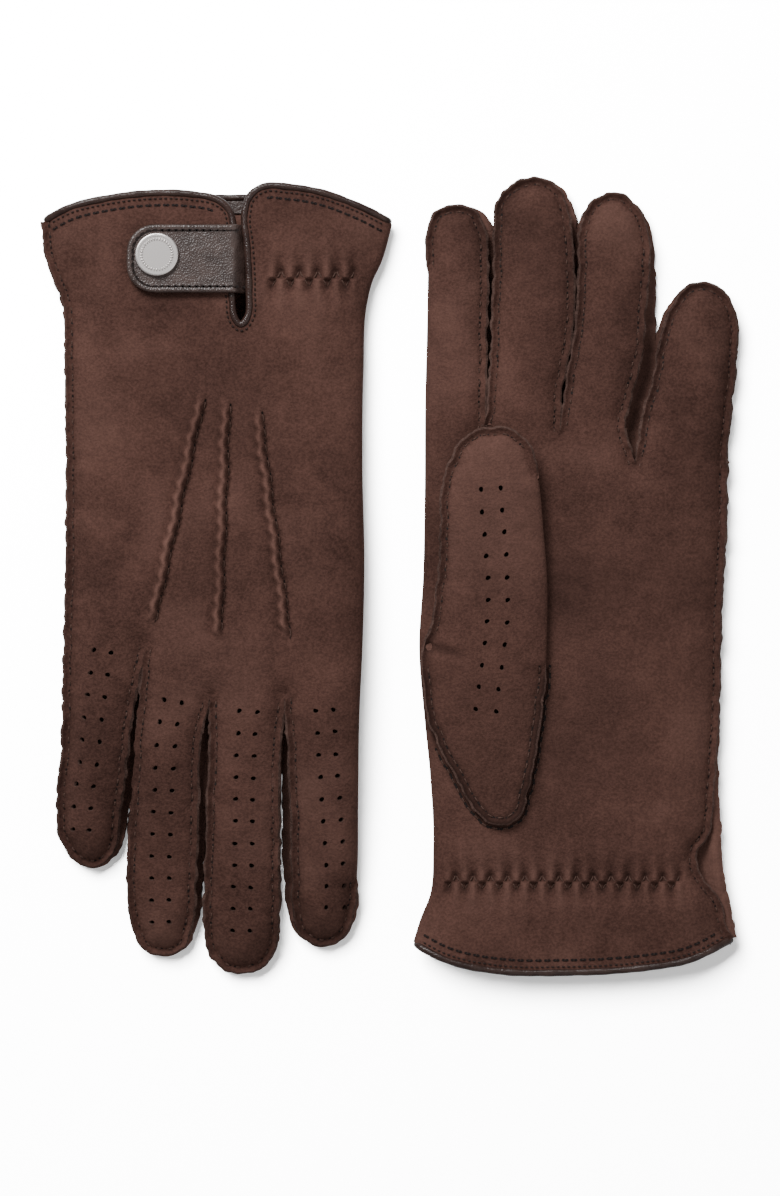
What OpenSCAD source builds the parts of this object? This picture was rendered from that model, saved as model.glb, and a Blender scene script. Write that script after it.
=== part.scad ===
// Pair of snap-strap leather driving gloves, lying on a table side by side.
// The right glove lies back up with its fingers towards -Y. The left lies palm up, fingers towards +Y.
// Millimetres, +Z up. The origin is on the table, under the middle of the pair.
// Each piece is modelled once, in a hand frame: x across (thumb side negative), y from hem to fingertips,
// z from the outside of the palm (0) to the outside of the back (body_h).

/* [Hand] */
// Flattened thickness of the hand and the fingers, outside
body_h = 11; // [9:0.5:16]
// Thickness of the main leather
leather = 1; // [0.7:0.1:1.4]
// How far each cuff corner flares out from the wrist
flare_w = 12; // [4:0.5:18]
// Height above the hem where the flare ends
flare_h = 45; // [35:1:60]
// How far the hem's corners sit above its middle
hem_rise = 9.5; // [4:0.5:14]

/* [Fingers] */
// Flattened widths of the index, middle, ring and little fingers
finger_w = [21.7, 22.5, 21.4, 20.4]; // [16:0.1:28]
// Lengths of the same fingers beyond their flexing lines
finger_l = [66, 74, 70, 52]; // [40:1:100]
// Heights of the flexing lines above the hem
flex_y = [167, 167, 167, 157]; // [140:1:200]
// Heights of the slits' ends in the back, index to little
back_crotch_y = [154.5, 154.5, 139.5]; // [125:0.5:190]
// Heights of the slits' ends in the palm, index to little
palm_crotch_y = [163.8, 163.8, 154.3]; // [130:0.1:195]
// Gap between neighbouring fingers
finger_gap = 1; // [0.6:0.1:3]
// Free gap at each flexing line
flex_gap = 0.4; // [0.3:0.1:1]
// Outward lean of the right glove's fingers, index to little, in degrees
right_lean = [0, 1.5, 2, 3]; // [0:0.5:8]
// Outward lean of the left glove's fingers, index to little, in degrees
left_lean = [0, 0.5, 1, 6]; // [0:0.5:8]

/* [Thumb] */
// Greatest flattened width of the thumb
thumb_w = 35; // [28:0.5:38]
// Radius of the thumb's rounded tip
thumb_tip_r = 13.2; // [9:0.1:15]
// Thickness of the thumb stall, outside
thumb_h = 8; // [6:0.5:10]
// Distance of the thumb's middle line from the hand's
thumb_x = -25; // [-28:0.5:-22]
// Heights above the hem: foot of the base seam, widest place, tip
thumb_foot_y = 44.5; // [40:0.5:55]
thumb_wide_y = 86; // [75:1:95]
thumb_tip_y = 164.7; // [145:0.1:166]
// Height of the opening line where it crosses the thumb's middle line
thumb_line_y = 96; // [90:1:105]
// Slope of the opening line across the thumb, in degrees
thumb_line_a = 33; // [0:1:40]
// Gap between the folded thumb and the palm
thumb_gap = 0.4; // [0.3:0.1:2]

/* [Cuff vent and binding] */
// Middle line of the vent in the back of the cuff
vent_x = -7.7; // [-12:0.1:-4]
// Width of the vent between its leather edges
vent_w = 5.6; // [5:0.1:8]
// Height of the vent's closed end above the hem
vent_y = 41; // [36:1:60]
// Extra width of the vent at the hem, on each side
vent_flare = 3; // [0:0.5:5]
// Binding: how far it stands out from the leather edge, and how far it laps over the leather
bind_out = 0.8; // [0.5:0.1:1.2]
bind_lap = 1.5; // [1:0.1:2.5]
// Binding: thickness on each face of the leather
bind_t = 0.3; // [0.2:0.05:0.5]
// Facing inside the vent: width and thickness
facing_w = 3.4; // [2.5:0.1:5]
facing_t = 0.7; // [0.5:0.1:1]

/* [Strap and snap] */
// Width of the strap
strap_w = 21; // [16:0.5:24]
// Height of the strap's middle line above the hem
strap_y = 20.9; // [16:0.1:26]
// How far the strap's free end lies from the hand's middle line
strap_end = 26.5; // [22:0.5:32]
// Radius of the corners of the free end
strap_corner = 8.5; // [4:0.5:10]
// Thickness of the strap's outer leather and of its lining
strap_outer_t = 1; // [0.7:0.1:1.4]
strap_lining_t = 0.7; // [0.5:0.1:1]
// Length of strap sewn in behind the vent's edge
anchor_l = 7; // [5:0.5:9]
// Snap cap: diameter, height, distance of its middle from the hand's middle line
cap_d = 13.2; // [10:0.1:15]
cap_h = 1.4; // [1:0.1:2]
snap_x = 17.2; // [13:0.1:19]
// Snap socket: outside diameter and height
socket_d = 9; // [8:0.1:9.5]
socket_h = 1; // [0.8:0.1:1.2]
// Snap stud: diameter, diameter of its flange, thickness of its flange
stud_d = 3.8; // [3:0.1:5]
stud_flange_d = 8; // [7:0.1:8.5]
stud_flange_t = 0.3; // [0.2:0.1:0.4]
// Radial play between stud and socket
snap_play = 0.2; // [0.1:0.05:0.4]
// Snap post: diameter of its shank, diameter and thickness of its head
post_d = 2.4; // [1.6:0.1:2.6]
post_head_d = 7; // [5:0.1:9]
post_head_t = 0.5; // [0.3:0.1:0.8]
// Reinforcing patch behind the stud: diameter and thickness
patch_d = 14; // [10:0.5:16]
patch_t = 0.8; // [0.5:0.1:1.2]
// Free height between the strap and the vent's binding
strap_lift = 0.3; // [0.3:0.05:1]

/* [Wrist elastic] */
// Width and thickness of the elastic
elastic_w = 6; // [4:0.5:8]
elastic_t = 0.6; // [0.4:0.1:1]
// Height of its middle line above the hem, and how far it stays from each side of the hand
elastic_y = 27; // [22:0.5:34]
elastic_margin = 6; // [4:0.5:12]

/* [Lay on the table] */
// Distance between the two gloves' middle lines
pair_pitch = 109.6; // [109:0.5:140]
// Distance of each hem's middle from the origin, along Y
hem_y = 119.3; // [100:0.1:140]
// Pitch of the right hand, lifted by the thumb folded under it, in degrees
hand_pitch = 3.4; // [3:0.1:5]

/* [Hidden] */
$fn = 64;

SUEDE = "#5b4037";
SUEDE_DARK = "#46312a";
SMOOTH = "#2f2726";
LINING = "#3a2f2c";
METAL = "#c4c4c2";
RIBBON = "#33231e";

INDEX = 0;
MIDDLE = 1;
RING = 2;
LITTLE = 3;
eps = 0.01;
far = 100;
curve_step = 3;

// Fingers side by side fill the hand's width
function sum_to(i) = i < 0 ? 0 : finger_w[i] + sum_to(i - 1);
hand_half = (sum_to(LITTLE) + 3 * finger_gap) / 2;
function finger_left(i) = -hand_half + sum_to(i - 1) + i * finger_gap;
function finger_right(i) = finger_left(i) + finger_w[i];
function finger_mid(i) = finger_left(i) + finger_w[i] / 2;

// Half width of the hand at height y, and height of the hem at x
function side(y) = hand_half + (y < flare_h ? flare_w * pow(1 - y / flare_h, 2) : 0);
cuff_half = side(hem_rise);
function hem(x) = hem_rise * pow(x / cuff_half, 2);
straight_y = min(back_crotch_y) - 2;

// Levels in the hand frame
inner_low = leather;
inner_high = body_h - leather;
strap_z = body_h + bind_t + strap_lift;
outer_z = strap_z + strap_lining_t;
cap_z = outer_z + strap_outer_t;
snap_top = cap_z + cap_h;
socket_bore = stud_d + 2 * snap_play;
socket_wall = 0.6;
cap_tube_d = socket_bore + 2 * socket_wall;
cap_rim_r = 0.5;
cap_dish = 0.2;
facing_z = inner_high - facing_t;
anchor_t = strap_outer_t;
strap_root = vent_x - vent_w / 2 + bind_out + 0.8;
riser_w = 1;

// Lay of the two gloves
lift = bind_t * cos(hand_pitch) + bind_out * sin(hand_pitch);
reach = flex_y[MIDDLE] + finger_l[MIDDLE] - strap_y - cap_d / 2;
left_pitch = atan((snap_top - body_h) / reach);
left_lift = snap_top * cos(left_pitch) + (strap_y + cap_d / 2) * sin(left_pitch);
function right_drop(i) = asin((lift + flex_y[i] * sin(hand_pitch)) / finger_l[i]) + hand_pitch;

module right_glove() {
    translate([-pair_pitch / 2, hem_y, lift]) rotate([0, 0, 180]) rotate([hand_pitch, 0, 0]) children();
}

module left_glove() {
    translate([pair_pitch / 2, -hem_y, left_lift]) rotate([-left_pitch, 0, 0])
        mirror([0, 0, 1]) children();
}

// The level the folded thumb lies in: the table under the right glove
module thumb_frame() {
    rotate([-hand_pitch, 0, 0]) translate([0, 0, -lift]) children();
}

// A finger's own frame: origin in the middle of its flexing line, y towards the tip
module finger_frame(i, lean, drop) {
    translate([finger_mid(i), flex_y[i], 0]) rotate([0, 0, -lean]) rotate([-drop, 0, 0]) children();
}

module layer(z, h) {
    translate([0, 0, z]) linear_extrude(h) children();
}

// ---- Hand outlines ----

function side_points(inset, low, high) = [
    for (k = [0 : ceil((high - low) / curve_step)])
        let (y = min(low + k * curve_step, high)) [side(y) - inset, y]
];

function flip_x(points) = [for (k = [len(points) - 1 : -1 : 0]) [-points[k].x, points[k].y]];

function hem_points(drop) = [
    for (k = [-12 : 12]) let (x = cuff_half * k / 12) [x, hem(x) - drop]
];

module palm_area() {
    right = side_points(0, hem_rise, straight_y);
    polygon(concat(hem_points(0), right, flip_x(right)));
}

// The stub of one finger that belongs to the hand, up to the flexing line
function root_end(i, lean, x) = flex_y[i] - (x - finger_mid(i)) * tan(lean);

module root_area(i, lean, left, right, low) {
    polygon([[left, low], [right, low], [right, root_end(i, lean, right)], [left, root_end(i, lean, left)]]);
}

module hand_area(leans, crotch_y) {
    palm_area();
    for (i = [INDEX : LITTLE])
        root_area(i, leans[i], finger_left(i), finger_right(i), straight_y - eps);
    for (i = [INDEX : RING])
        translate([finger_right(i) - eps, straight_y - eps])
            square([finger_gap + 2 * eps, crotch_y[i] - straight_y + eps]);
}

// Side wall of the hand: the fold on the thumb side, the seam on the other
module side_wall_area(i, lean) {
    outer = side_points(0, hem_rise, straight_y);
    inner = side_points(leather, hem_rise, straight_y);
    mid = i == INDEX ? -1 : 1;
    polygon([for (p = concat(outer, [for (k = [len(inner) - 1 : -1 : 0]) inner[k]])) [mid * p.x, p.y]]);
    edge = i == INDEX ? finger_left(i) : finger_right(i) - leather;
    root_area(i, lean, edge, edge + leather, straight_y - eps);
}

// The vent, grown or shrunk by g
module vent_area(g) {
    r = vent_w / 2 + g;
    translate([vent_x, vent_y - vent_w / 2]) circle(r);
    translate([vent_x - r, -far]) square([2 * r, far + vent_y - vent_w / 2]);
    mouth = r + vent_flare;
    translate([vent_x, 0])
        polygon([[-mouth, -far], [mouth, -far], [mouth, 0], [r, strap_y / 2], [-r, strap_y / 2], [-mouth, 0]]);
}

// ---- Thumb outlines, in the thumb frame ----

thumb_tip_mid = thumb_tip_y - thumb_tip_r;

function thumb_half(y, inset) =
    y < thumb_wide_y
    ? (thumb_w / 2 - inset)
        * sqrt(max(0, 1 - pow((thumb_wide_y - y) / (thumb_wide_y - thumb_foot_y - inset), 2)))
    : (thumb_w / 2 - inset) + (thumb_tip_r - thumb_w / 2) * (y - thumb_wide_y) / (thumb_tip_mid - thumb_wide_y);

function thumb_side(inset) = [
    for (k = [0 : 24])
        let (foot = thumb_foot_y + inset, y = foot + (thumb_tip_mid - foot) * (1 - cos(90 * k / 24)))
            [thumb_half(y, inset), y]
];

module thumb_area(inset) {
    right = thumb_side(inset);
    translate([thumb_x, 0]) {
        polygon(concat(right, flip_x(right)));
        translate([0, thumb_tip_mid - eps]) circle(thumb_tip_r - inset);
    }
}

// Everything beyond the thumb's opening line, starting at gap past it
module beyond_line(gap) {
    translate([thumb_x, thumb_line_y]) rotate(-thumb_line_a) translate([-far, gap]) square(2 * far);
}

// Everything on the hand's side of a level in the hand frame, drawn in the thumb frame
module above_level(z) {
    translate([0, 0, lift]) rotate([hand_pitch, 0, 0]) translate([-2 * far, -far, z])
        cube([4 * far, 4 * far, far]);
}

// ---- Pieces of the hand ----

module hand_shell(leans) {
    color(SUEDE) difference() {
        union() {
            layer(inner_high, leather) hand_area(leans, back_crotch_y);
            layer(0, leather) hand_area(leans, palm_crotch_y);
            layer(0, body_h) side_wall_area(INDEX, leans[INDEX]);
            layer(0, body_h) side_wall_area(LITTLE, leans[LITTLE]);
        }
        layer(inner_high - eps, leather + 2 * eps) vent_area(0);
        translate([snap_x, strap_y, inner_high - eps]) cylinder(d = post_d, h = leather + 2 * eps);
        thumb_hole();
    }
}

// The hole in the palm that the thumb base is set into
module thumb_hole() {
    intersection() {
        thumb_frame() layer(-far, 2 * far) difference() {
            thumb_area(leather);
            beyond_line(-leather);
        }
        translate([-far, -far, -leather]) cube([4 * far, 4 * far, 3 * leather]);
    }
}

// Forks of the fourchettes between neighbouring finger roots
module fourchette_roots(leans) {
    color(SUEDE_DARK) layer(inner_low, inner_high - inner_low)
        for (i = [INDEX : RING]) {
            right = finger_right(i);
            next = finger_left(i + 1);
            foot = back_crotch_y[i] - leather;
            root_area(i, leans[i], right - leather, right, foot);
            root_area(i + 1, leans[i + 1], next, next + leather, foot);
            translate([right - leather, foot]) square([finger_gap + 2 * leather, leather]);
        }
}

module thumb_base() {
    color(SUEDE) thumb_frame() difference() {
        layer(0, 2 * thumb_h) difference() {
            thumb_area(0);
            beyond_line(0);
        }
        layer(leather, 2 * thumb_h) difference() {
            thumb_area(leather);
            beyond_line(leather);
        }
        above_level(0);
    }
}

module strap_anchor() {
    edge = strap_root - bind_out;
    bottom = facing_z - anchor_t;
    color(SMOOTH) translate([0, strap_y - strap_w / 2, bottom]) {
        translate([edge - anchor_l, 0, 0]) cube([anchor_l + riser_w, strap_w, anchor_t]);
        translate([edge, 0, 0]) cube([riser_w, strap_w, strap_z - strap_lift - bottom]);
    }
}

module snap_stud() {
    color(METAL) translate([snap_x, strap_y, body_h]) difference() {
        union() {
            cylinder(d = stud_flange_d, h = stud_flange_t);
            cylinder(d = stud_d, h = strap_z + socket_h - strap_lift / 2 - body_h);
        }
        translate([0, 0, -eps]) cylinder(d = post_d, h = leather);
    }
}

module snap_post() {
    color(METAL) translate([snap_x, strap_y, inner_high - patch_t]) {
        cylinder(d = post_d, h = patch_t + 2 * leather - eps);
        translate([0, 0, -post_head_t]) cylinder(d = post_head_d, h = post_head_t);
    }
}

module stud_patch() {
    color(LINING) translate([snap_x, strap_y, inner_high - patch_t]) difference() {
        cylinder(d = patch_d, h = patch_t);
        translate([0, 0, -eps]) cylinder(d = post_d, h = patch_t + 2 * eps);
    }
}

// A band along the hem, from out beyond the edge to lap inside it
module hem_band(out, lap) {
    polygon(concat(hem_points(out), [for (k = [12 : -1 : -12]) let (x = cuff_half * k / 12) [x, hem(x) + lap]]));
}

module cuff_binding() {
    color(SMOOTH) difference() {
        union() {
            layer(inner_high - bind_t, leather + 2 * bind_t) difference() {
                union() {
                    hem_band(bind_out, bind_lap);
                    intersection() {
                        vent_area(bind_lap);
                        hem_band(bind_out, far);
                    }
                }
                vent_area(-bind_out);
            }
            layer(-bind_t, leather + 2 * bind_t) hem_band(bind_out, bind_lap);
            for (s = [-1, 1])
                layer(0, body_h) intersection() {
                    hem_band(bind_out, bind_lap);
                    translate([s * (cuff_half - leather) - leather, 0]) square([2 * leather, far]);
                }
        }
        layer(inner_high, leather) difference() {
            palm_area();
            vent_area(0);
        }
        layer(0, leather) palm_area();
        layer(0, body_h) side_wall_area(INDEX, 0);
        layer(0, body_h) side_wall_area(LITTLE, 0);
    }
}

module cuff_facing() {
    color(SMOOTH) layer(facing_z, facing_t) intersection() {
        difference() {
            vent_area(bind_lap + facing_w);
            vent_area(bind_lap);
        }
        translate([0, bind_lap]) hem_band(0, far / 2);
    }
}

// One length across the palm, one across the thumb side of the back
module wrist_elastic() {
    half = hand_half - elastic_margin;
    low = elastic_y - elastic_w / 2;
    back_end = strap_root - bind_out - anchor_l - 1;
    color(RIBBON) {
        translate([-half, low, inner_low]) cube([2 * half, elastic_w, elastic_t]);
        translate([-half, low, inner_high - elastic_t]) cube([half + back_end, elastic_w, elastic_t]);
    }
}

// ---- Pieces of the strap ----

module strap_area() {
    w = strap_w / 2;
    far_mid = strap_end - strap_corner;
    translate([strap_root, strap_y - w]) square([far_mid - strap_root, strap_w]);
    translate([strap_root, strap_y - w + strap_corner])
        square([strap_end - strap_root, strap_w - 2 * strap_corner]);
    for (s = [-1, 1])
        translate([far_mid, strap_y + s * (w - strap_corner)]) circle(strap_corner);
}

module strap_outer() {
    color(SMOOTH) difference() {
        layer(outer_z, strap_outer_t) strap_area();
        translate([snap_x, strap_y, outer_z - eps]) {
            cylinder(d = socket_d, h = strap_z + socket_h - outer_z + eps);
            cylinder(d = cap_tube_d, h = strap_outer_t + 2 * eps);
        }
    }
}

module strap_lining() {
    color(LINING) difference() {
        layer(strap_z, strap_lining_t) strap_area();
        translate([snap_x, strap_y, strap_z - eps]) cylinder(d = socket_d, h = strap_lining_t + 2 * eps);
    }
}

module snap_socket() {
    color(METAL) translate([snap_x, strap_y, strap_z]) difference() {
        cylinder(d = socket_d, h = socket_h);
        translate([0, 0, -eps]) cylinder(d = socket_bore, h = socket_h + 2 * eps);
    }
}

// Cap with a rounded rim and a shallow dish, and the tube that holds it to the socket
module snap_cap() {
    r = cap_d / 2;
    rim = r - cap_rim_r;
    dish = r - 2 * cap_rim_r;
    tube_h = cap_z - strap_z - socket_h;
    color(METAL) translate([snap_x, strap_y, cap_z]) rotate_extrude() {
        square([dish, cap_h - cap_dish]);
        square([rim, cap_h - cap_rim_r]);
        translate([dish - eps, 0]) square([rim - dish + eps, cap_h]);
        square([r, cap_h - cap_rim_r]);
        intersection() {
            translate([rim, cap_h - cap_rim_r]) circle(cap_rim_r);
            translate([rim - eps, cap_h - cap_rim_r - eps]) square(cap_rim_r + 2 * eps);
        }
        translate([socket_bore / 2, -tube_h]) square([socket_wall, tube_h + eps]);
    }
}

// ---- Pieces of a finger, in its own frame ----

module finger_area(i, inset) {
    r = finger_w[i] / 2 - inset;
    top = finger_l[i] - finger_w[i] / 2;
    translate([-r, flex_gap]) square([2 * r, top - flex_gap]);
    translate([0, top]) circle(r);
}

module wall_strip(i, s, z, h) {
    x = s < 0 ? -finger_w[i] / 2 : finger_w[i] / 2 - leather;
    translate([x, flex_gap, z]) cube([leather, finger_l[i] - finger_w[i] / 2 - flex_gap, h]);
}

// Front and back of one finger, closed round the tip. The outer fingers also have their outer side.
module finger_stall(i, lean, drop) {
    color(SUEDE) finger_frame(i, lean, drop) {
        layer(inner_high, leather) finger_area(i, 0);
        layer(0, leather) finger_area(i, 0);
        layer(0, body_h) difference() {
            finger_area(i, 0);
            finger_area(i, leather);
            translate([-far, 0]) square([2 * far, finger_l[i] - finger_w[i] / 2 - eps]);
        }
        if (i == INDEX) wall_strip(i, -1, 0, body_h);
        if (i == LITTLE) wall_strip(i, 1, 0, body_h);
    }
}

// Inner sides of one finger
module fourchettes(i, lean, drop) {
    color(SUEDE_DARK) finger_frame(i, lean, drop) {
        if (i != INDEX) wall_strip(i, -1, inner_low, inner_high - inner_low);
        if (i != LITTLE) wall_strip(i, 1, inner_low, inner_high - inner_low);
    }
}

module thumb_stall() {
    color(SUEDE) thumb_frame() difference() {
        layer(0, thumb_h) intersection() {
            thumb_area(0);
            beyond_line(flex_gap);
        }
        difference() {
            layer(leather, thumb_h - 2 * leather) intersection() {
                thumb_area(leather);
                beyond_line(flex_gap - leather);
            }
            above_level(-thumb_gap - leather);
        }
        above_level(-thumb_gap);
    }
}

// ---- Right glove ----

module right_finger(i) finger_stall(i, right_lean[i], right_drop(i));
module right_sides(i) fourchettes(i, right_lean[i], right_drop(i));

right_glove() hand_shell(right_lean);  // right_hand_shell
right_glove() right_finger(INDEX);  // right_index_stall
right_glove() right_finger(MIDDLE);  // right_middle_stall
right_glove() right_finger(RING);  // right_ring_stall
right_glove() right_finger(LITTLE);  // right_little_stall
right_glove() fourchette_roots(right_lean);  // right_fourchette_roots
right_glove() right_sides(INDEX);  // right_index_fourchette
right_glove() right_sides(MIDDLE);  // right_middle_fourchettes
right_glove() right_sides(RING);  // right_ring_fourchettes
right_glove() right_sides(LITTLE);  // right_little_fourchette
right_glove() thumb_base();  // right_thumb_base
right_glove() thumb_stall();  // right_thumb_stall
right_glove() strap_anchor();  // right_strap_anchor
right_glove() strap_outer();  // right_strap_outer
right_glove() strap_lining();  // right_strap_lining
right_glove() snap_cap();  // right_snap_cap
right_glove() snap_socket();  // right_snap_socket
right_glove() snap_stud();  // right_snap_stud
right_glove() snap_post();  // right_snap_post
right_glove() stud_patch();  // right_stud_patch
right_glove() cuff_binding();  // right_cuff_binding
right_glove() cuff_facing();  // right_cuff_facing
right_glove() wrist_elastic();  // right_wrist_elastic

// ---- Left glove ----

module left_finger(i) finger_stall(i, left_lean[i], 0);
module left_sides(i) fourchettes(i, left_lean[i], 0);

left_glove() hand_shell(left_lean);  // left_hand_shell
left_glove() left_finger(INDEX);  // left_index_stall
left_glove() left_finger(MIDDLE);  // left_middle_stall
left_glove() left_finger(RING);  // left_ring_stall
left_glove() left_finger(LITTLE);  // left_little_stall
left_glove() fourchette_roots(left_lean);  // left_fourchette_roots
left_glove() left_sides(INDEX);  // left_index_fourchette
left_glove() left_sides(MIDDLE);  // left_middle_fourchettes
left_glove() left_sides(RING);  // left_ring_fourchettes
left_glove() left_sides(LITTLE);  // left_little_fourchette
left_glove() thumb_base();  // left_thumb_base
left_glove() thumb_stall();  // left_thumb_stall
left_glove() strap_anchor();  // left_strap_anchor
left_glove() strap_outer();  // left_strap_outer
left_glove() strap_lining();  // left_strap_lining
left_glove() snap_cap();  // left_snap_cap
left_glove() snap_socket();  // left_snap_socket
left_glove() snap_stud();  // left_snap_stud
left_glove() snap_post();  // left_snap_post
left_glove() stud_patch();  // left_stud_patch
left_glove() cuff_binding();  // left_cuff_binding
left_glove() cuff_facing();  // left_cuff_facing
left_glove() wrist_elastic();  // left_wrist_elastic
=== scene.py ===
"""A pair of suede driving gloves laid on a pale table: the right one back up, the left one palm up.

Shapes are worked out in millimetres in each glove's own frame: x runs across the hand from its middle
line, with the thumb at negative x, y runs from the hem to the fingertips, and z is the row frame's height.
"""

import math

import bpy
import numpy as np
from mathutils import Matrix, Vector
from mathutils.geometry import delaunay_2d_cdt


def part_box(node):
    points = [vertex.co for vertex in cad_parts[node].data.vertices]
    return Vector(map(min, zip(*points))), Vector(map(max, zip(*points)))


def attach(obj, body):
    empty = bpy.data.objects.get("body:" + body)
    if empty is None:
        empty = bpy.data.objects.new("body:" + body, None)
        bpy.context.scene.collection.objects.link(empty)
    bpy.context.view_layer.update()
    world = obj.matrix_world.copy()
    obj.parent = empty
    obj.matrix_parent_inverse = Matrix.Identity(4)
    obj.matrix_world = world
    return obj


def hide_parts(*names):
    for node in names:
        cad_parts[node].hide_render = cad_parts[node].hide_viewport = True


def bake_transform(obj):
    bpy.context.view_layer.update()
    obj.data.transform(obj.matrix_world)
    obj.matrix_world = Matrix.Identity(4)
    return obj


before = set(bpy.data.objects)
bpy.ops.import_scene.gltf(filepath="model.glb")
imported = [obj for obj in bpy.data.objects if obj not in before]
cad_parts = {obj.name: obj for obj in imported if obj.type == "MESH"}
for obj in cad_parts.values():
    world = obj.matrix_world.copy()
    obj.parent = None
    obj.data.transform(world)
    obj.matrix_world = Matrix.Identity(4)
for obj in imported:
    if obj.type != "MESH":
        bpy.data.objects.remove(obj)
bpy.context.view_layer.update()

MM = 0.001  # a millimetre, in metres

# ---- Sizes, in millimetres ----

LEATHER = 1.0  # thickness of the suede
DEPTH = 5.5  # half the depth of a full hand or finger
FLANGE = 1.7  # raw edge outside the stitches of a seam
GAP_EDGE = 2.3  # half the height at a finger's side where a fourchette is set in
GRID = 1.25  # spacing of mesh points on plain leather
FINE = 0.6  # spacing of mesh points on ridges and gathers
STEP = 0.8  # spacing of mesh points along an edge
ELASTIC_Y = 27.0  # middle of the wrist elastic above the hem
# Where the fingers' pieces part from the hand's, and where the right glove's fingers start to fall
FINGER_CUT = {"index": 165.0, "middle": 165.0, "ring": 165.0, "little": 155.0}
FLEX_Y = {"index": 167.0, "middle": 167.0, "ring": 167.0, "little": 157.0}
BEND = 14.0  # length of finger that bends at the knuckle
FINGERS = ("little", "ring", "middle", "index")

# ---- Outlines, as (x, y) or (x, y, dx, dy), where dx, dy lead to the lower sheet's edge ----

RIGHT_EDGES = {
    "little": ("seam", "gap", [
        (52.6, 9.2), (50.8, 21.4), (48.3, 27.5), (46.2, 33.6), (45.3, 52), (44.7, 88), (44.7, 119),
        (45.4, 145), (46, 170), (47, 180), (47.7, 189), (46.4, 199), (43.4, 203.6), (36.9, 206.6),
        (32.6, 204.2, -0.4, 0), (30.1, 199, -1.4, 0), (28.9, 190, -2.3, 0), (27.4, 180, -2.4, 0),
        (26.2, 170, -2.4, 0), (24.9, 160, -1.8, 0), (22.9, 150, -1, 0), (20.7, 139.5, 0, 8)]),
    "ring": ("gap", "gap", [
        (20.7, 139.5, 0, 8), (21.7, 150, 0.4, 0), (22.8, 160, 0.6, 0), (24.5, 180, 0.3, 0),
        (25.7, 200), (26.1, 213), (24.7, 225), (21.9, 231), (15.9, 233.7), (9.6, 231),
        (7.2, 225, -1.4, 0), (5.7, 213, -1.8, 0), (5.4, 200, -2, 0), (4.7, 180, -2.2, 0),
        (3.3, 163, -1.6, 0), (1.0, 154.8, 0, 8)]),
    "middle": ("gap", "gap", [
        (1.0, 154.8, 0, 8), (0.8, 165, 0.8, 0), (1.7, 190, 0.7, 0), (2.4, 210), (2.7, 223), (1.9, 231.5),
        (-2.4, 237.4), (-8.8, 238.8), (-14.8, 236.8), (-18.6, 231), (-19.4, 222), (-19.8, 208),
        (-19.8, 190), (-20.1, 170, -0.6, 0), (-21.8, 154.5, 0, 8)]),
    "index": ("gap", "fold", [
        (-21.8, 154.5, 0, 8), (-22.9, 170, 1.4, 0), (-23.85, 190, 2.6, 0), (-24.1, 210, 2.6, 0),
        (-24.4, 220, 1.5, 0), (-26.4, 227, 0.4, 0), (-31.9, 230.6), (-38.4, 228.4), (-42, 221.5, -0.6, 0),
        (-43.5, 210), (-44, 187), (-44.4, 160), (-45.3, 140), (-45.9, 113), (-45.3, 85), (-45.6, 55),
        (-46.8, 33.6), (-48.3, 27.5), (-51.1, 21.4), (-54.4, 9.8)]),
}

LEFT_EDGES = {
    "little": ("seam", "gap", [
        (48.9, 9.8, 0.6, 0), (46.4, 12.8, 2.4, 0), (46, 17.7, 2.2, 0), (43, 23.5, 3.7, 0),
        (39.3, 27.5, 6.6, 0), (37.6, 36, 7.4, 0), (40.6, 40, 4.4, 0), (42.1, 47, 2.4, 0),
        (42.9, 58, 1.2, 0), (44.5, 81), (45.2, 110), (46.7, 135.4), (47.2, 158), (48, 170),
        (49.7, 185), (50.3, 194), (48.7, 203), (45, 208), (41.2, 209.6), (34.7, 208, -0.5, 0),
        (29.8, 200.4, -1, 0), (26.4, 190, -1.4, 0), (24.6, 180, -2.2, 0), (21.7, 170, -2.6, 3),
        (20.6, 162, -1.4, 5), (19.05, 154.8, 0, 8)]),
    "ring": ("gap", "gap", [
        (19.05, 154.8, 0, 8), (16.6, 160, 1.9, 5), (15.4, 167, 3.4, 2), (16.9, 172, 3.4, 0),
        (19.05, 180, 4, 0), (21.2, 190, 4, 0), (22.2, 203, 3.1, 0), (23.4, 215, 1.8, 0),
        (22.8, 225, 1, 0), (20.3, 232, 0.3, 0), (14.5, 236.9), (6.9, 235.2), (2.9, 228, -0.5, 0),
        (2.2, 214, -1.2, 0), (1.5, 200, -1, 0), (-0.2, 189, -0.8, 0), (-1.75, 180, -0.5, 0),
        (-2.9, 171), (-4, 163.8, 0, -3)]),
    "middle": ("gap", "gap", [
        (-4, 163.8, 0, -3), (-4, 171, 0.9, 0), (-3, 180, 2.2, 0), (-0.9, 190, 1, 0), (0.1, 204, 0.9, 0),
        (-0.4, 220, 2.1, 0), (-1.7, 231, 2, 0), (-4.4, 238.4, 1, 0), (-10.3, 241.6), (-18, 239.8),
        (-22.5, 235), (-23.6, 228), (-23.7, 215, -0.5, 0), (-24.3, 200, -0.8, 0), (-25.2, 180, -0.6, 0),
        (-26, 170), (-27.2, 164.6, 0, -3)]),
    "index": ("gap", "fold", [
        (-27.2, 164.6, 0, -3), (-26.9, 175, 1, 0), (-26.7, 200, 2.2, 0), (-26.2, 217, 2.3, 0),
        (-27.6, 227, 3, 0), (-30.6, 232.2, 1.4, 0), (-35.4, 233.4), (-41, 231.8), (-43.9, 226),
        (-44.3, 212), (-44.6, 195), (-45.1, 175), (-45.3, 145), (-45.8, 119.6), (-47, 98), (-45.4, 77),
        (-43.6, 58.6), (-42.7, 37), (-43.9, 22), (-46.4, 15.9), (-48.8, 8.4)]),
}

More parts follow.
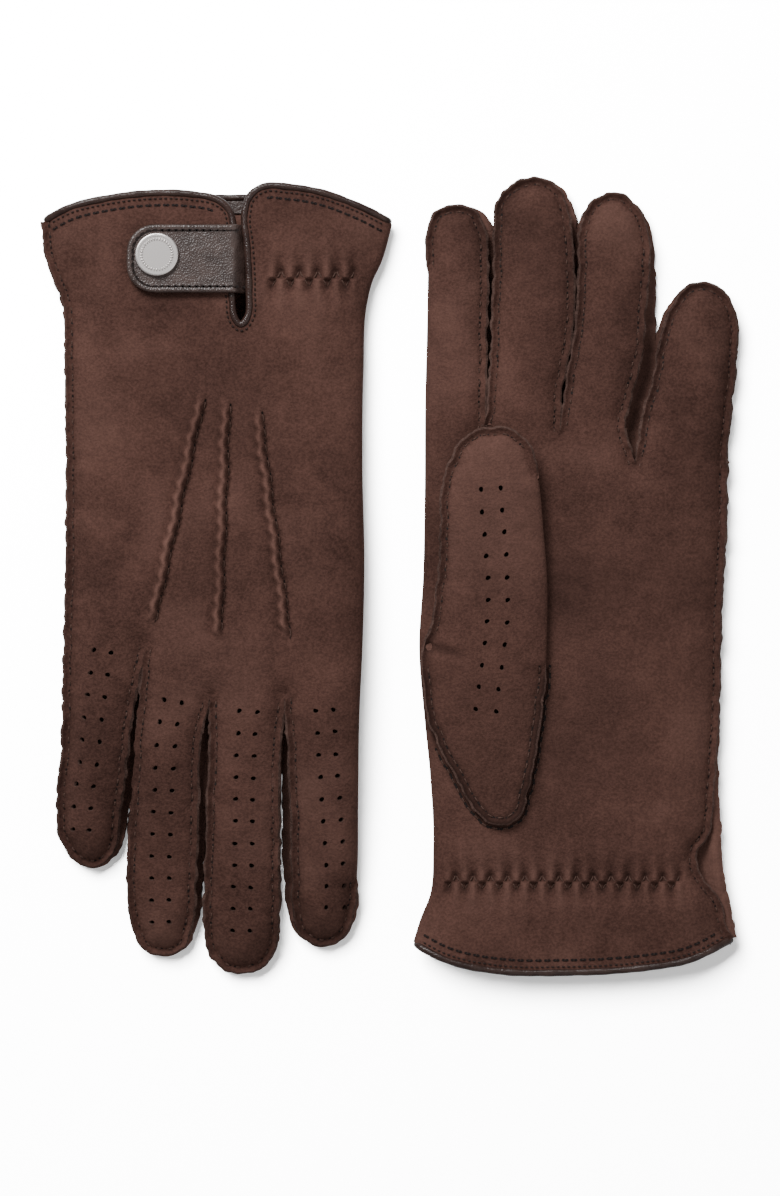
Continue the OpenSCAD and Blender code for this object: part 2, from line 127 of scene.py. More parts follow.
# The hem between its two corners, little-finger side first; the back's has the vent in it
BACK_HEM = [
    (44, 5.2), (33, 2.6), (20, 1.0), (7, 1.3), (-0.8, 2.9), (-4.3, 5.6), (-5.5, 10), (-5.1, 20), (-5.3, 33),
    (-6.3, 39.6), (-8.3, 41.7), (-10.3, 39.4), (-11, 30.5), (-10.3, 16), (-9.5, 7.6), (-11, 1.8),
    (-14.2, -0.8), (-23, -0.9), (-33, 0.8), (-44, 4.8)]
PALM_HEM = [(34.8, 3.5), (20.4, 1.1), (-4, -0.3), (-22.3, 0.1), (-39, 3.6)]
HIDDEN_HEM = 1.7  # how much farther in the lower sheet's hem lies

# The thumb from its fold, round its tip, down its seam and round the foot of its base
THUMB_EDGE = [
    (-8.1, 105), (-8.1, 118), (-9.3, 134), (-10.5, 147), (-12.6, 157), (-18, 163.3), (-25.2, 165),
    (-32.4, 162.4), (-37.3, 155), (-39.9, 145), (-40.3, 128), (-42, 112), (-42.9, 104.5), (-45.2, 100),
    (-45.6, 88), (-43.8, 76.5), (-38.8, 65), (-33.2, 54.8), (-28.6, 47.6), (-22.6, 44.6), (-17, 47.4),
    (-14.3, 55.6), (-12, 68), (-10.1, 80), (-8.5, 93), (-8.1, 105)]
THUMB_SEWN_Y = 92.0  # below this y the thumb is sewn into the palm
THUMB_HINGE = (-25.0, 96.0)  # a point on the oblique crease the thumb opens about
THUMB_TURN = math.radians(33)  # how far that crease is turned from the x axis
THUMB_OUT = np.array([math.sin(THUMB_TURN), math.cos(THUMB_TURN)])  # across the crease, to the tip
THUMB_ALONG = np.array([math.cos(THUMB_TURN), -math.sin(THUMB_TURN)])
THUMB_DEPTH = 8.0  # thickness of the whole thumb
THUMB_START = 4.0  # the thumb's bend starts this far before its crease
THUMB_END = 14.0  # and ends this far past it

# The three points on the back: lower end, upper end
POINTS = [((3.97, 63), (18.8, 131.2)), ((-3.5, 64.7), (-1.1, 136)), ((-13, 67.4), (-22.1, 136))]
POINT_WIDE = 1.25  # half the width of a point's ridge
POINT_HIGH = 2.0  # height of the ridge
POINT_STITCH = 4.7  # spacing of the stitches along a point

# Perforations: rows, first and last row's y, and how far their middle is from the finger's
PERFORATIONS = {
    "little": (9, 140.4, 195, 0.4, 2.1),
    "ring": (11, 155.5, 223.3, 0.3, 0.5),
    "middle": (11, 158.7, 225.7, -0.5, 0),
    "index": (10, 158.3, 218.8, -0.5, -3.7),
}
GATHERS = {  # the zigzag sewing: first and last x, pitch, lowest and highest y
    "back": (-42.9, -17.5, 5.6, 24.2, 29.4),
    "palm": (-38.4, 32.5, 5.25, 24.4, 29.0),
}
HOLE_R = 0.78  # radius of a perforation
HOLE_SIDES = 12
HOLE_RIM = 0.35  # width of the row of triangles round a hole
COLUMNS = 2.7  # half the distance between the two columns of holes
THUMB_ROWS = [(-25.4, 146.5), (-23.2, 112), (-26.8, 79.3)]  # middle line of the thumb's holes
THUMB_COLUMNS = 3.0  # half the distance between its two columns
THUMB_HOLE_SPACING = 6.8

# The strap over the vent: its extent, and the radius of its free end's corners
STRAP_X = (-9.0, 26.5)
STRAP_Y = (10.4, 31.4)
STRAP_CORNER = 8.5
STRAP_ROOT_X = STRAP_X[0] - 0.8
# Heights above the back: the strap's underside, the joint of its two layers, its top and its thread
STRAP_LOW, STRAP_JOIN, STRAP_TOP, STRAP_THREAD_Z = 0.62, 1.25, 2.3, 2.36
SNAP_PLACE = (17.2, 20.9)
PATCH_R = 5.2  # radius of the leather patch under the stud
CAP_R = 6.6  # radius of the snap's cap
CAP_TICK_R = 4.7  # radius of its ring of ticks
CAP_TICKS = 36
CAP_DISH = 0.16  # how far the cap's face lies below its rim
THREAD = 0.46  # diameter of the thread
NEEDLE = 0.42  # radius of the flat dark disc painted as the shade in a needle's hole
SEAM_SPACING = 3.5  # from one stitch of a seam to the next
THUMB_SPACING = 3.3
SEAM_STITCH = 1.7  # lengths of the stitches
BASE_STITCH = 2.2
POINT_THREAD = 3.0
STRAP_THREAD = 1.5
# Each row of the hem: how far in, spacing, length, and whether it is the running row, with flat dark discs
# painted as the shade in the holes its needle leaves
HEM_ROWS = ((1.5, 1.6, 1.1, False), (3.5, 2.7, 0.9, True))
FOURCHETTE = 0.8  # thickness of the fourchettes
BAND = 0.5  # thickness of the facing and the elastic
FACING = (0.8, 4.6)  # how far in it starts and ends
ELASTIC_W = 6.0
BINDING_R = 1.15
RIGHT_PALM = (0.347, 0.0593)  # height of the palm's plane at the hem, and its slope
LEFT_PALM = (15.17, -0.0173)


# ---- The two gloves' places ----


class Glove:
    """Where a glove lies: its side (-1 right, 1 left) also turns its x and y into the row frame's."""

    def __init__(self, name, side, edges, palm):
        self.name = name
        self.side = side
        self.edges = edges
        self.palm_zero, self.palm_slope = palm
        low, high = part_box(name + "_hand_shell")
        self.mid_x = (low[0] + high[0]) / 2 / MM
        self.hem_y = (high[1] if side < 0 else low[1]) / MM + side * 0.9

    def palm_z(self, y):
        """Height of the palm's outer plane."""
        return self.palm_zero + self.palm_slope * y

    def back_z(self, y):
        """Height of the back's outer plane."""
        return self.palm_z(y) - self.side * 2 * DEPTH

    def middle(self, x, y):
        """Height halfway between palm and back; the right glove's fingers come down to the table."""
        rising = self.palm_z(y) - self.side * DEPTH
        if self.side > 0:
            return rising
        fall, start = finger_fall(x, y)
        falling = self.palm_z(start) + DEPTH - fall * (y - start)
        soft = 1.6
        return -soft * np.logaddexp(-rising / soft, -falling / soft)

    def world(self, points):
        """Points in the glove's frame, in the row frame and metres."""
        p = np.asarray(points, float).reshape(-1, 3)
        x = self.mid_x + self.side * p[:, 0]
        y = self.hem_y + self.side * p[:, 1]
        return np.stack([x, y, p[:, 2]], 1) * MM

    def body(self, part):
        """The full name of one of this glove's parts."""
        return self.name + "_" + part


def smoothstep(u):
    """0 up to u = 0, 1 from u = 1, smooth between."""
    u = np.clip(u, 0, 1)
    return u * u * (3 - 2 * u)


def bell(u, width):
    """1 where u is 0, falling off on both sides over about width."""
    return np.exp(-((u / width) ** 2))


def angles(count):
    """Directions evenly round a circle."""
    return np.arange(count) * 2 * np.pi / count


def unit(vectors):
    """The same directions with length 1."""
    return vectors / np.maximum(np.linalg.norm(vectors, axis=-1, keepdims=True), 1e-12)


def finger_fall(x, y):
    """Slope and start of each right finger's fall, blended across the gaps."""
    gaps = [(-21.8, 0.0), (1.0, 0.06), (20.7, 0.12)]
    falls = [0.157, 0.140, 0.148, 0.189]
    starts = [FLEX_Y[name] for name in reversed(FINGERS)]
    fall = np.full(np.shape(x), falls[0])
    start = np.full(np.shape(x), starts[0])
    for k, (gap_x, lean) in enumerate(gaps):
        line = gap_x + lean * (np.maximum(y, 140) - 150)
        w = smoothstep((x - line) / 3 + 0.5)
        fall = fall + w * (falls[k + 1] - falls[k])
        start = start + w * (starts[k + 1] - starts[k])
    return fall, start


def noise(x, y, scale, seed):
    """Smooth noise from -1 to 1 with features about scale mm across."""
    n = 64
    lattice = np.random.RandomState(seed).uniform(-1, 1, (n, n))
    u = np.asarray(x, float) / scale + 1000.3
    v = np.asarray(y, float) / scale + 1000.7
    i = np.floor(u).astype(int)
    j = np.floor(v).astype(int)
    a = smoothstep(u - i)
    b = smoothstep(v - j)
    low = lattice[i % n, j % n] * (1 - a) + lattice[(i + 1) % n, j % n] * a
    high = lattice[i % n, (j + 1) % n] * (1 - a) + lattice[(i + 1) % n, (j + 1) % n] * a
    return low * (1 - b) + high * b


# ---- Curves ----


def spline(points, step):
    """A smooth curve through points, sampled about every step; extra columns follow along."""
    wide = max(len(q) for q in points)
    p = np.array([tuple(q) + (0,) * (wide - len(q)) for q in points], float)
    t = np.concatenate([[0], np.cumsum(np.hypot(*np.diff(p[:, :2], axis=0).T))])
    gaps = np.diff(t)[:, None]
    slope = np.diff(p, axis=0) / gaps
    tangent = np.empty_like(p)
    tangent[0] = slope[0]
    tangent[-1] = slope[-1]
    tangent[1:-1] = (slope[:-1] * gaps[1:] + slope[1:] * gaps[:-1]) / (gaps[:-1] + gaps[1:])
    at = np.linspace(0, t[-1], max(2, int(round(t[-1] / step)) + 1))
    i = np.clip(np.searchsorted(t, at, side="right") - 1, 0, len(t) - 2)
    h = gaps[i]
    u = (at - t[i])[:, None] / h
    start = (2 * u**3 - 3 * u**2 + 1) * p[i] + (u**3 - 2 * u**2 + u) * h * tangent[i]
    end = (3 * u**2 - 2 * u**3) * p[i + 1] + (u**3 - u**2) * h * tangent[i + 1]
    return start + end


def arc_length(points):
    """Distance along a polyline from its start to each point."""
    p = np.asarray(points, float)
    return np.concatenate([[0], np.cumsum(np.linalg.norm(np.diff(p, axis=0), axis=1))])


def resample(points, step):
    """The same polyline with points about every step."""
    p = np.asarray(points, float)
    s = arc_length(p)
    at = np.linspace(0, s[-1], max(2, int(round(s[-1] / step)) + 1))
    return np.stack([np.interp(at, s, p[:, k]) for k in range(p.shape[1])], 1)


def tangents(points, closed=False):
    """Directions along a polyline at each of its points."""
    p = np.asarray(points, float)
    if closed:
        d = np.roll(p, -1, axis=0) - np.roll(p, 1, axis=0)
    else:
        d = np.gradient(p, axis=0)
    return unit(d)


def blur(values, passes):
    """Values smoothed along a curve, each column on its own."""
    v = np.array(values, float)
    for _ in range(passes):
        v[1:-1] = (v[:-2] + 2 * v[1:-1] + v[2:]) / 4
    return v


def inside(points, outline):
    """Which points lie inside a closed outline."""
    x, y = points[:, 0], points[:, 1]
    hit = np.zeros(len(points), bool)
    for a, b in zip(outline, np.roll(outline, -1, axis=0)):
        if a[1] == b[1]:
            continue
        crosses = (a[1] > y) != (b[1] > y)
        hit ^= crosses & (x < (b[0] - a[0]) * (y - a[1]) / (b[1] - a[1]) + a[0])
    return hit


class Border:
    """A polyline with facts at each of its points, which can be looked up from points near it."""

    def __init__(self, xy, **facts):
        self.xy = np.asarray(xy, float)
        self.s = arc_length(self.xy)
        self.facts = {k: np.asarray(v, float) for k, v in facts.items()}

    def look(self, points):
        """Distance from each point to the polyline, the place s along it, and its facts there."""
        best = np.full(len(points), np.inf)
        place = np.zeros(len(points))
        a, b = self.xy[:-1], self.xy[1:]
        d = b - a
        squared = np.maximum((d**2).sum(1), 1e-12)
        for first in range(0, len(points), 2000):
            p = points[first : first + 2000]
            u = ((p[:, None, :] - a) * d).sum(2) / squared
            u = np.clip(u, 0, 1)
            away = np.hypot(*(p[:, None, :] - a - u[..., None] * d).transpose(2, 0, 1))
            k = away.argmin(1)
            rows = np.arange(len(p))
            best[first : first + 2000] = away[rows, k]
            place[first : first + 2000] = self.s[k] + u[rows, k] * (self.s[k + 1] - self.s[k])
        facts = {name: np.interp(place, self.s, v) for name, v in self.facts.items()}
        return best, place, facts


# ---- Sheets of leather ----


def crown(u, raw):
    """How full the sheet is at u, from 0 at its edge to 1: steep at a fold, gentler off a raw seam."""
    u = np.clip(u, 0, 1)
    fold = (1 - (1 - u) ** 2.1) ** (1 / 2.1)
    seam = 1 - (1 - u) ** 2.4
    return fold + (seam - fold) * raw


def ridge_lines():
    return [np.array([a, b], float) for a, b in POINTS]


def ridge_waver(s):
    return 0.30 * np.sin(s * 2 * np.pi / POINT_STITCH) + 0.25 * np.sin(s * 2 * np.pi / 17.3)


def along_ridge(x, y, ends):
    """(distance across, distance along, length) of points to a ridge that wavers slightly."""
    a, b = ends
    length = np.linalg.norm(b - a)
    way = (b - a) / length
    s = (x - a[0]) * way[0] + (y - a[1]) * way[1]
    across = (x - a[0]) * way[1] - (y - a[1]) * way[0]
    return across + ridge_waver(s), s, length


def ridge_height(x, y):
    """The three raised points, with a pit at every stitch on their thumb side."""
    z = np.zeros(np.shape(x))
    for ends in ridge_lines():
        across, s, length = along_ridge(x, y, ends)
        fade = smoothstep(s / 5 + 0.3) * smoothstep((length - s) / 5 + 0.3)
        beat = np.cos(s * 2 * np.pi / POINT_STITCH)
        body = np.exp(-(np.abs(across / POINT_WIDE) ** 3)) * (1 + 0.14 * beat)
        groove = 0.5 * bell(across + 1.9, 0.8) + 0.3 * bell(across - 2.1, 1.1)
        pit = bell(across + 1.7, 0.7) * np.maximum(0, beat) ** 3
        z += fade * (POINT_HIGH * body - groove - 0.7 * pit)
    return z


def ridge_shade(x, y):
    """Painted shade beside the points, in the stitched groove with its pits and in the groove on the far
    side, and painted highlight along the ridges' tops.
    """
    dark = np.zeros(np.shape(x))
    for ends in ridge_lines():
        across, s, length = along_ridge(x, y, ends)
        fade = smoothstep(s / 5 + 0.3) * smoothstep((length - s) / 5 + 0.3)
        beat = np.maximum(0, np.cos(s * 2 * np.pi / POINT_STITCH))
        sewn_side = bell(across + 1.7, 0.6) * (0.22 + 0.6 * beat**3)
        top = np.exp(-(np.abs(across / 1.1) ** 3))
        dark += fade * (sewn_side + 0.2 * bell(across - 1.8, 0.8) - 0.34 * top)
    return dark


def zigzag(face):
    """The corners of the zigzag sewing over the wrist elastic; the back has it on the thumb side only."""
    x0, x1, pitch, low, high = GATHERS[face]
    xs = np.arange(x0, x1, pitch / 2)
    return np.stack([xs, np.where(np.arange(len(xs)) % 2, high, low)], 1)


def gather_parts(x, y, face):
    """(reach, sewn line, folds above, folds below) of the gathers near the wrist elastic."""
    x0, x1, pitch, low, high = GATHERS[face]
    reach = smoothstep((x - x0) / 4 + 0.8) * smoothstep((x1 - x) / 4 + 0.8)
    d, _, _ = Border(zigzag(face)).look(np.stack([x, y], 1))
    wander = 0.9 * noise(x, y, 8, 5)
    up = np.cos((x - x0 - pitch / 2 + wander * smoothstep((y - high) / 6)) * 2 * np.pi / pitch)
    down = np.cos((x - x0 + wander * smoothstep((low - y) / 6)) * 2 * np.pi / pitch)
    above = np.maximum(y - high, 0)
    below = np.maximum(low - y, 0)
    length = 1 + 0.4 * noise(x, y, 11, 6)
    folds_up = up * np.exp(-above / (3.6 * length)) * (y > (low + high) / 2)
    folds_down = down * np.exp(-below / (3.6 * length)) * (y <= (low + high) / 2)
    return reach, bell(d, 0.8), folds_up, folds_down


def gather_height(x, y, face):
    """Puckers where the elastic pulls the wrist in."""
    z = np.zeros(np.shape(x))
    near = np.abs(y - ELASTIC_Y) < 24
    if not near.any():
        return z
    reach, sewn_line, folds_up, folds_down = gather_parts(x[near], y[near], face)
    dy = y[near] - ELASTIC_Y
    waist = -0.8 * bell(dy, 6) + 0.5 * bell(np.abs(dy) - 8.5, 4)
    z[near] = reach * (waist - 0.4 * sewn_line - 0.85 * (folds_up + folds_down))
    return z


def pit_shade(x, y, face):
    """Painted shade of a needle's pit at each corner of the zigzag."""
    corner = zigzag(face)
    d = np.min(np.hypot(x[:, None] - corner[:, 0], y[:, None] - corner[:, 1]), axis=1)
    return 0.45 * bell(d, 0.7)


def gather_shade(x, y, face):
    # Painted shade along the sewn line and in the folds' hollows, painted highlight on their crests, and the
    # painted pits
    dark = np.zeros(np.shape(x))
    near = np.abs(y - ELASTIC_Y) < 24
    if near.any():
        reach, sewn_line, folds_up, folds_down = gather_parts(x[near], y[near], face)
        pits = pit_shade(x[near], y[near], face)
        dark[near] = reach * (0.06 * sewn_line + 0.19 * (folds_up + folds_down) + pits)
    return dark


def soft_relief(x, y, seed):
    """The gentle unevenness of leather that has been used and laid down."""
    broad = 0.55 * noise(x, y, 34, seed) + 0.30 * noise(x, y, 15, seed + 1)
    fine = 0.13 * noise(x, y, 6, seed + 2) + 0.06 * noise(x, y, 3, seed + 3)
    creases = 0.24 * noise(x / 3.2, y, 4.6, seed + 4) * smoothstep((y - 150) / 25)
    return broad + fine + creases


def seam_ruffle(x, y, d):
    """The raw edges wave up and down together."""
    near = np.exp(-d / 2.2)
    return near * (0.30 * noise(x, y, 4.2, 71) + 0.30 * noise(x, y, 1.9, 72))


def thumb_seam():
    """The seam round the foot of the thumb, on the palm."""
    p = spline(THUMB_EDGE, STEP)
    return Border(p[(p[:, 1] < THUMB_SEWN_Y) & (np.arange(len(p)) > len(p) // 2)])


class Surface:
    """What the faces of hand and thumb share; way is 1 where the outside of the leather is up, else -1."""

    def normal(self, points):
        """Outward normals, from the height just beside each point."""
        e = 0.25
        dx = (self.height(points + [e, 0]) - self.height(points - [e, 0])) / (2 * e)
        dy = (self.height(points + [0, e]) - self.height(points - [0, e])) / (2 * e)
        return unit(np.stack([-dx, -dy, np.ones(len(points))], 1) * self.way)

    def raise_to(self, xy, out=0.0):
        """Points of the surface above xy, moved out along z."""
        xy = np.asarray(xy, float)
        return np.column_stack([xy, self.height(xy) + self.way * out])


class Sheet(Surface):
    """One face of a glove: its outline, and the height of its outer surface anywhere inside it."""

    def __init__(self, glove, upper):
        self.glove = glove
        self.way = 1 if upper else -1
        self.face = "back" if (glove.side < 0) == upper else "palm"
        self.seed = 11 if glove.side < 0 else 37
        xy, finger, gap, raw = self._edges(0 if upper else 1)
        self.border = Border(xy, gap=gap, raw=raw)
        self.finger = finger
        hem = BACK_HEM if self.face == "back" else PALM_HEM
        if not upper:
            hem = [(x, y + HIDDEN_HEM) for x, y in hem]
        self.hem = spline([tuple(xy[0])] + hem + [tuple(xy[-1])], STEP)
        self.outline = np.concatenate([xy, self.hem[::-1][1:-1]])
        self.holes = hole_places(glove) if self.face == "back" else np.zeros((0, 2))

    def _edges(self, lower):
        """The closing edges as one curve, with the finger, the gap and the rawness at each point."""
        rows, finger, gap, raw = [], [], [], []
        for number, name in enumerate(FINGERS):
            first, second, points = self.glove.edges[name]
            p = spline(points, STEP)
            if rows:
                p = p[1:]
            tip = p[:, 1].argmax()
            xy = p[:, :2] + lower * p[:, 2:4]
            kinds = np.array([first] * tip + [second] * (len(p) - tip))
            tip_y = p[tip, 1]
            open_side = smoothstep((tip_y - 5 - p[:, 1]) / 16)
            waver = 0.20 * noise(p[:, 0], p[:, 1], 3.1, 91) + 0.32 * noise(p[:, 0], p[:, 1], 1.6, 92)
            folded = (kinds == "fold") & (p[:, 1] < tip_y - 19)
            rawness = blur(np.where(folded, 0.0, 1.0), 8)
            rawness[folded & (rawness < 0.03)] = 0
            xy = xy + (rawness * waver)[:, None] * inward_normals(p[:, :2])
            rows.append(xy)
            finger += [number] * len(p)
            gap.append(np.where(kinds == "gap", GAP_EDGE * open_side, 0))
            raw.append(rawness)
        return np.concatenate(rows), np.array(finger), blur(np.concatenate(gap), 4), np.concatenate(raw)

    def cuts(self):
        """Lines across the fingers where their pieces part from the hand's."""
        lines = []
        for number, name in enumerate(FINGERS):
            p = self.border.xy[self.finger == number]
            tip = p[:, 1].argmax()
            y = FINGER_CUT[name]
            sides = []
            for part in (p[:tip], p[tip:][::-1]):
                above = np.flatnonzero(part[:, 1] > y)[0]
                a, b = part[max(above - 1, 0)], part[above]
                u = (y - a[1]) / max(b[1] - a[1], 1e-6)
                sides.append(a[0] + u * (b[0] - a[0]))
            xs = np.linspace(min(sides) - 0.3, max(sides) + 0.3, 18)
            lines.append(np.stack([xs, np.full(18, y)], 1))
        return lines

    def parts(self, centre):
        """0 for the hand, 1 to 4 for the fingers, at each triangle's middle."""
        _, place, _ = self.border.look(centre)
        k = np.clip(np.searchsorted(self.border.s, place), 0, len(self.finger) - 1)
        finger = self.finger[k]
        cut = np.array([FINGER_CUT[name] for name in FINGERS])[finger]
        return np.where(centre[:, 1] > cut, finger + 1, 0)

    def hem_distance(self, xy):
        d, _, _ = Border(self.hem).look(xy)
        return d

    def hole_lip(self, xy):
        """How far the lower edge stands out round the holes and the slits between fingers."""
        return 0.12 * (self.hem_distance(xy) > 1)

    def radius(self, y):
        """How far in from an edge the sheet is full."""
        return 14.0 - 5.2 * smoothstep((y - 120) / 40)

    def height(self, points):
        """Height of the outer surface in the row frame, in mm."""
        x, y = points[:, 0], points[:, 1]
        d, _, facts = self.border.look(points)
        raw = facts["raw"]
        edge = facts["gap"] + LEATHER * raw
        inner = np.maximum(d - FLANGE * raw, 0)
        full = DEPTH - 0.5 * smoothstep((y - 190) / 40)
        puff = edge + (full - edge) * crown(inner / self.radius(y), raw)
        settle = smoothstep(d / 4) * self.flat_under_parts(x, y)
        relief = settle * soft_relief(x, y, self.seed + (0 if self.face == "back" else 50))
        relief = relief + smoothstep(d / 2.5) * gather_height(x, y, self.face)
        if self.face == "back":
            relief = relief + ridge_height(x, y) * smoothstep(d / 3)
        ruffle = seam_ruffle(x, y, d) * raw
        curl = 0.75 * raw * bell(d, 0.8) - 0.3 * raw * bell(d - FLANGE, 0.55)
        return self.glove.middle(x, y) + self.way * (puff + relief + curl) + ruffle

    def shade(self, points):
        """How dark or light the leather is painted, from -1 to 1: painted shade and highlight, darker raw
        edges and random tone.
        """
        x, y = points[:, 0], points[:, 1]
        d, _, facts = self.border.look(points)
        raw = facts["raw"]
        ragged = 0.6 + 0.5 * noise(x, y, 2.4, 93)
        # Darker along raw edges, and painted shade in the stitched groove just inside them
        dark = raw * (0.42 * ragged * bell(d, 1.2) + 0.22 * bell(d - FLANGE, 0.6))
        dark = dark + gather_shade(x, y, self.face)
        if self.face == "back":
            dark = dark + ridge_shade(x, y)
        elif self.glove.side > 0:
            # On the left palm: darker over its middle and over its middle finger
            dark = dark + 0.27 * np.exp(-(((x - 4) / 26) ** 2) - ((y - 112) / 44) ** 2)
            dark = dark + 0.20 * np.exp(-(((x + 13) / 15) ** 2) - ((y - 207) / 34) ** 2)
            # Painted shadow along the foot of the thumb, where its edge stands off the palm
            seam, _, _ = thumb_seam().look(points)
            dark = dark + 0.85 * bell(seam, 1.3)
        # Random lighter and darker tone over the whole sheet
        return np.clip(dark - 0.17 * noise(x, y, 22, 94) - 0.10 * noise(x, y, 9, 95) - 0.02, -1, 1)

    def flat_under_parts(self, x, y):
        """Quiets the relief where the strap lies on the back and where the thumb lies on the palm."""
        if self.face == "back":
            near = smoothstep((30 - np.abs(x - 9)) / 8) * smoothstep((40 - y) / 8)
        else:
            near = smoothstep((24 - np.abs(x + 26)) / 6) * smoothstep((172 - y) / 8)
            near = near * smoothstep((y - 40) / 8)
        return 1 - 0.8 * near

def inward_normals(xy):
    """Normals that point into the leather, for an edge with the leather on its left-hand side."""
    t = tangents(xy)
    return np.stack([-t[:, 1], t[:, 0]], 1)


def finger_middle(glove, name, y):
    """The x of a finger's middle line at y."""
    p = spline(glove.edges[name][2], STEP)
    tip = p[:, 1].argmax()
    one, two = p[:tip], p[tip:][::-1]
    one = one[one[:, 1] > 120]
    two = two[two[:, 1] > 120]
    return (np.interp(y, one[:, 1], one[:, 0]) + np.interp(y, two[:, 1], two[:, 0])) / 2


def hole_places(glove):
    """Middles of the perforations on the backs of the fingers."""
    places = []
    for name, (rows, first, last, off_first, off_last) in PERFORATIONS.items():
        y = np.linspace(first, last, rows)
        x = finger_middle(glove, name, y) + np.linspace(off_first, off_last, rows)
        lean = np.gradient(x, y)
        for column in (-COLUMNS, COLUMNS):
            places.append(np.stack([x + column, y - column * lean], 1))
    return jitter(np.concatenate(places))


def jitter(places):
    """Punched by hand: no hole is exactly in its row."""
    x, y = places.T
    return places + 0.22 * np.stack([noise(x, y, 3, 61), noise(x, y, 3, 62)], 1)


def thumb_holes():
    rows = spline(THUMB_ROWS, THUMB_HOLE_SPACING)
    way = tangents(rows)
    side = np.stack([way[:, 1], -way[:, 0]], 1)
    return jitter(np.concatenate([rows - THUMB_COLUMNS * side, rows + THUMB_COLUMNS * side]))


# ---- Triangles ----


def hex_points(low, high, spacing):
    """A hexagonal grid over a rectangle."""
    ys = np.arange(low[1], high[1], spacing * 0.866)
    xs = np.arange(low[0], high[0], spacing)
    rows = [np.stack([xs + (k % 2) * spacing / 2, np.full(len(xs), y)], 1) for k, y in enumerate(ys)]
    return np.concatenate(rows)


def fine_zone(face, points):
    """Where the mesh has to be finer: along the points and at the gathers."""
    x, y = points[:, 0], points[:, 1]
    zone = (np.abs(y - ELASTIC_Y) < 9) & (x < (-12 if face == "back" else 42))
    if face == "back":
        for ends in ridge_lines():
            across, s, length = along_ridge(x, y, ends)
            zone |= (np.abs(across) < 3.4) & (s > -4) & (s < length + 4)
    return zone


def ring(centre, radius, count=HOLE_SIDES):
    """A slightly uneven circle."""
    a = angles(count)
    r = radius * (1 + 0.12 * np.cos(2 * a + centre[0]) + 0.06 * np.cos(3 * a + 2 * centre[1]))
    return np.stack([centre[0] + r * np.cos(a), centre[1] + r * np.sin(a)], 1)


def turned(xy, triangles, upward):
    """The triangles that have an area, all with their upper side outside if upward, else the lower."""
    a, b, c = (xy[triangles[:, k]] for k in range(3))
    area = (b[:, 0] - a[:, 0]) * (c[:, 1] - a[:, 1]) - (b[:, 1] - a[:, 1]) * (c[:, 0] - a[:, 0])
    wrong = (area > 0) != upward
    triangles[wrong] = triangles[wrong][:, ::-1]
    return triangles[np.abs(area) > 1e-5]


def triangulate(outline, face, holes, cuts, upward):
    """Vertices (x, y) and triangles of a flat sheet, with true edges along its outline, holes and cuts."""
    low, high = outline.min(0), outline.max(0)
    rows = [outline]
    edges = [(k, (k + 1) % len(outline)) for k in range(len(outline))]
    count = len(outline)
    for centre in holes:
        rows.append(ring(centre, HOLE_R))
        edges += [(count + k, count + (k + 1) % HOLE_SIDES) for k in range(HOLE_SIDES)]
        count += HOLE_SIDES
    for cut in cuts:
        rows.append(cut)
        edges += [(count + k, count + k + 1) for k in range(len(cut) - 1)]
        count += len(cut)
    coarse = hex_points(low, high, GRID)
    fine = hex_points(low, high, FINE)
    grid = np.concatenate([coarse[~fine_zone(face, coarse)], fine[fine_zone(face, fine)]])
    grid = grid[inside(grid, outline)]
    near, _, _ = Border(np.vstack([outline, outline[:1]])).look(grid)
    grid = grid[near > 3.2]
    offsets = edge_rows(outline)
    inner = np.concatenate([grid, offsets])
    if len(holes):
        away = np.min(np.hypot(*(inner[:, None, :] - holes).transpose(2, 0, 1)), axis=1)
        inner = inner[away > HOLE_R + HOLE_RIM]
        rows.append(np.concatenate([ring(c, HOLE_R + HOLE_RIM) for c in holes]))
    for cut in cuts:
        away, _, _ = Border(cut).look(inner)
        inner = inner[away > 0.3]
    rows.append(inner)
    points = np.concatenate(rows)
    found = delaunay_2d_cdt([tuple(p) for p in points], edges, [], 0, 1e-5)
    xy = np.array([tuple(v) for v in found[0]])
    triangles = np.array([f for f in found[2] if len(f) == 3])
    centre = xy[triangles].mean(1)
    keep = inside(centre, outline)
    for hole in holes:
        near = np.hypot(*(centre - hole).T) < HOLE_R * 1.5
        keep[near] &= ~inside(centre[near], ring(hole, HOLE_R))
    return xy, turned(xy, triangles[keep], upward)


def edge_rows(outline):
    """Rows of points just inside an outline, closer together towards it."""
    normal = inward_normals(np.vstack([outline[-1:], outline, outline[:1]]))[1:-1]
    closed = Border(np.vstack([outline, outline[:1]]))
    found = []
    for k, depth in enumerate((0.12, 0.4, 0.8, 1.25, 1.7, 2.15, 2.7)):
        every = slice(k % 2, None, 1 if depth < 1 else 2)
        row = outline[every] + normal[every] * depth
        away, _, _ = closed.look(row)
        row = row[(away > depth * 0.9) & inside(row, outline)]
        found.append(row)
    return np.concatenate(found)


# ---- Mesh objects ----


def vertex_normals(vertices, faces):
    """Area-weighted normals of a triangle mesh."""
    a, b, c = (vertices[faces[:, k]] for k in range(3))
    n = np.cross(b - a, c - a)
    total = np.zeros_like(vertices)
    for k in range(3):
        np.add.at(total, faces[:, k], n)
    return unit(total)


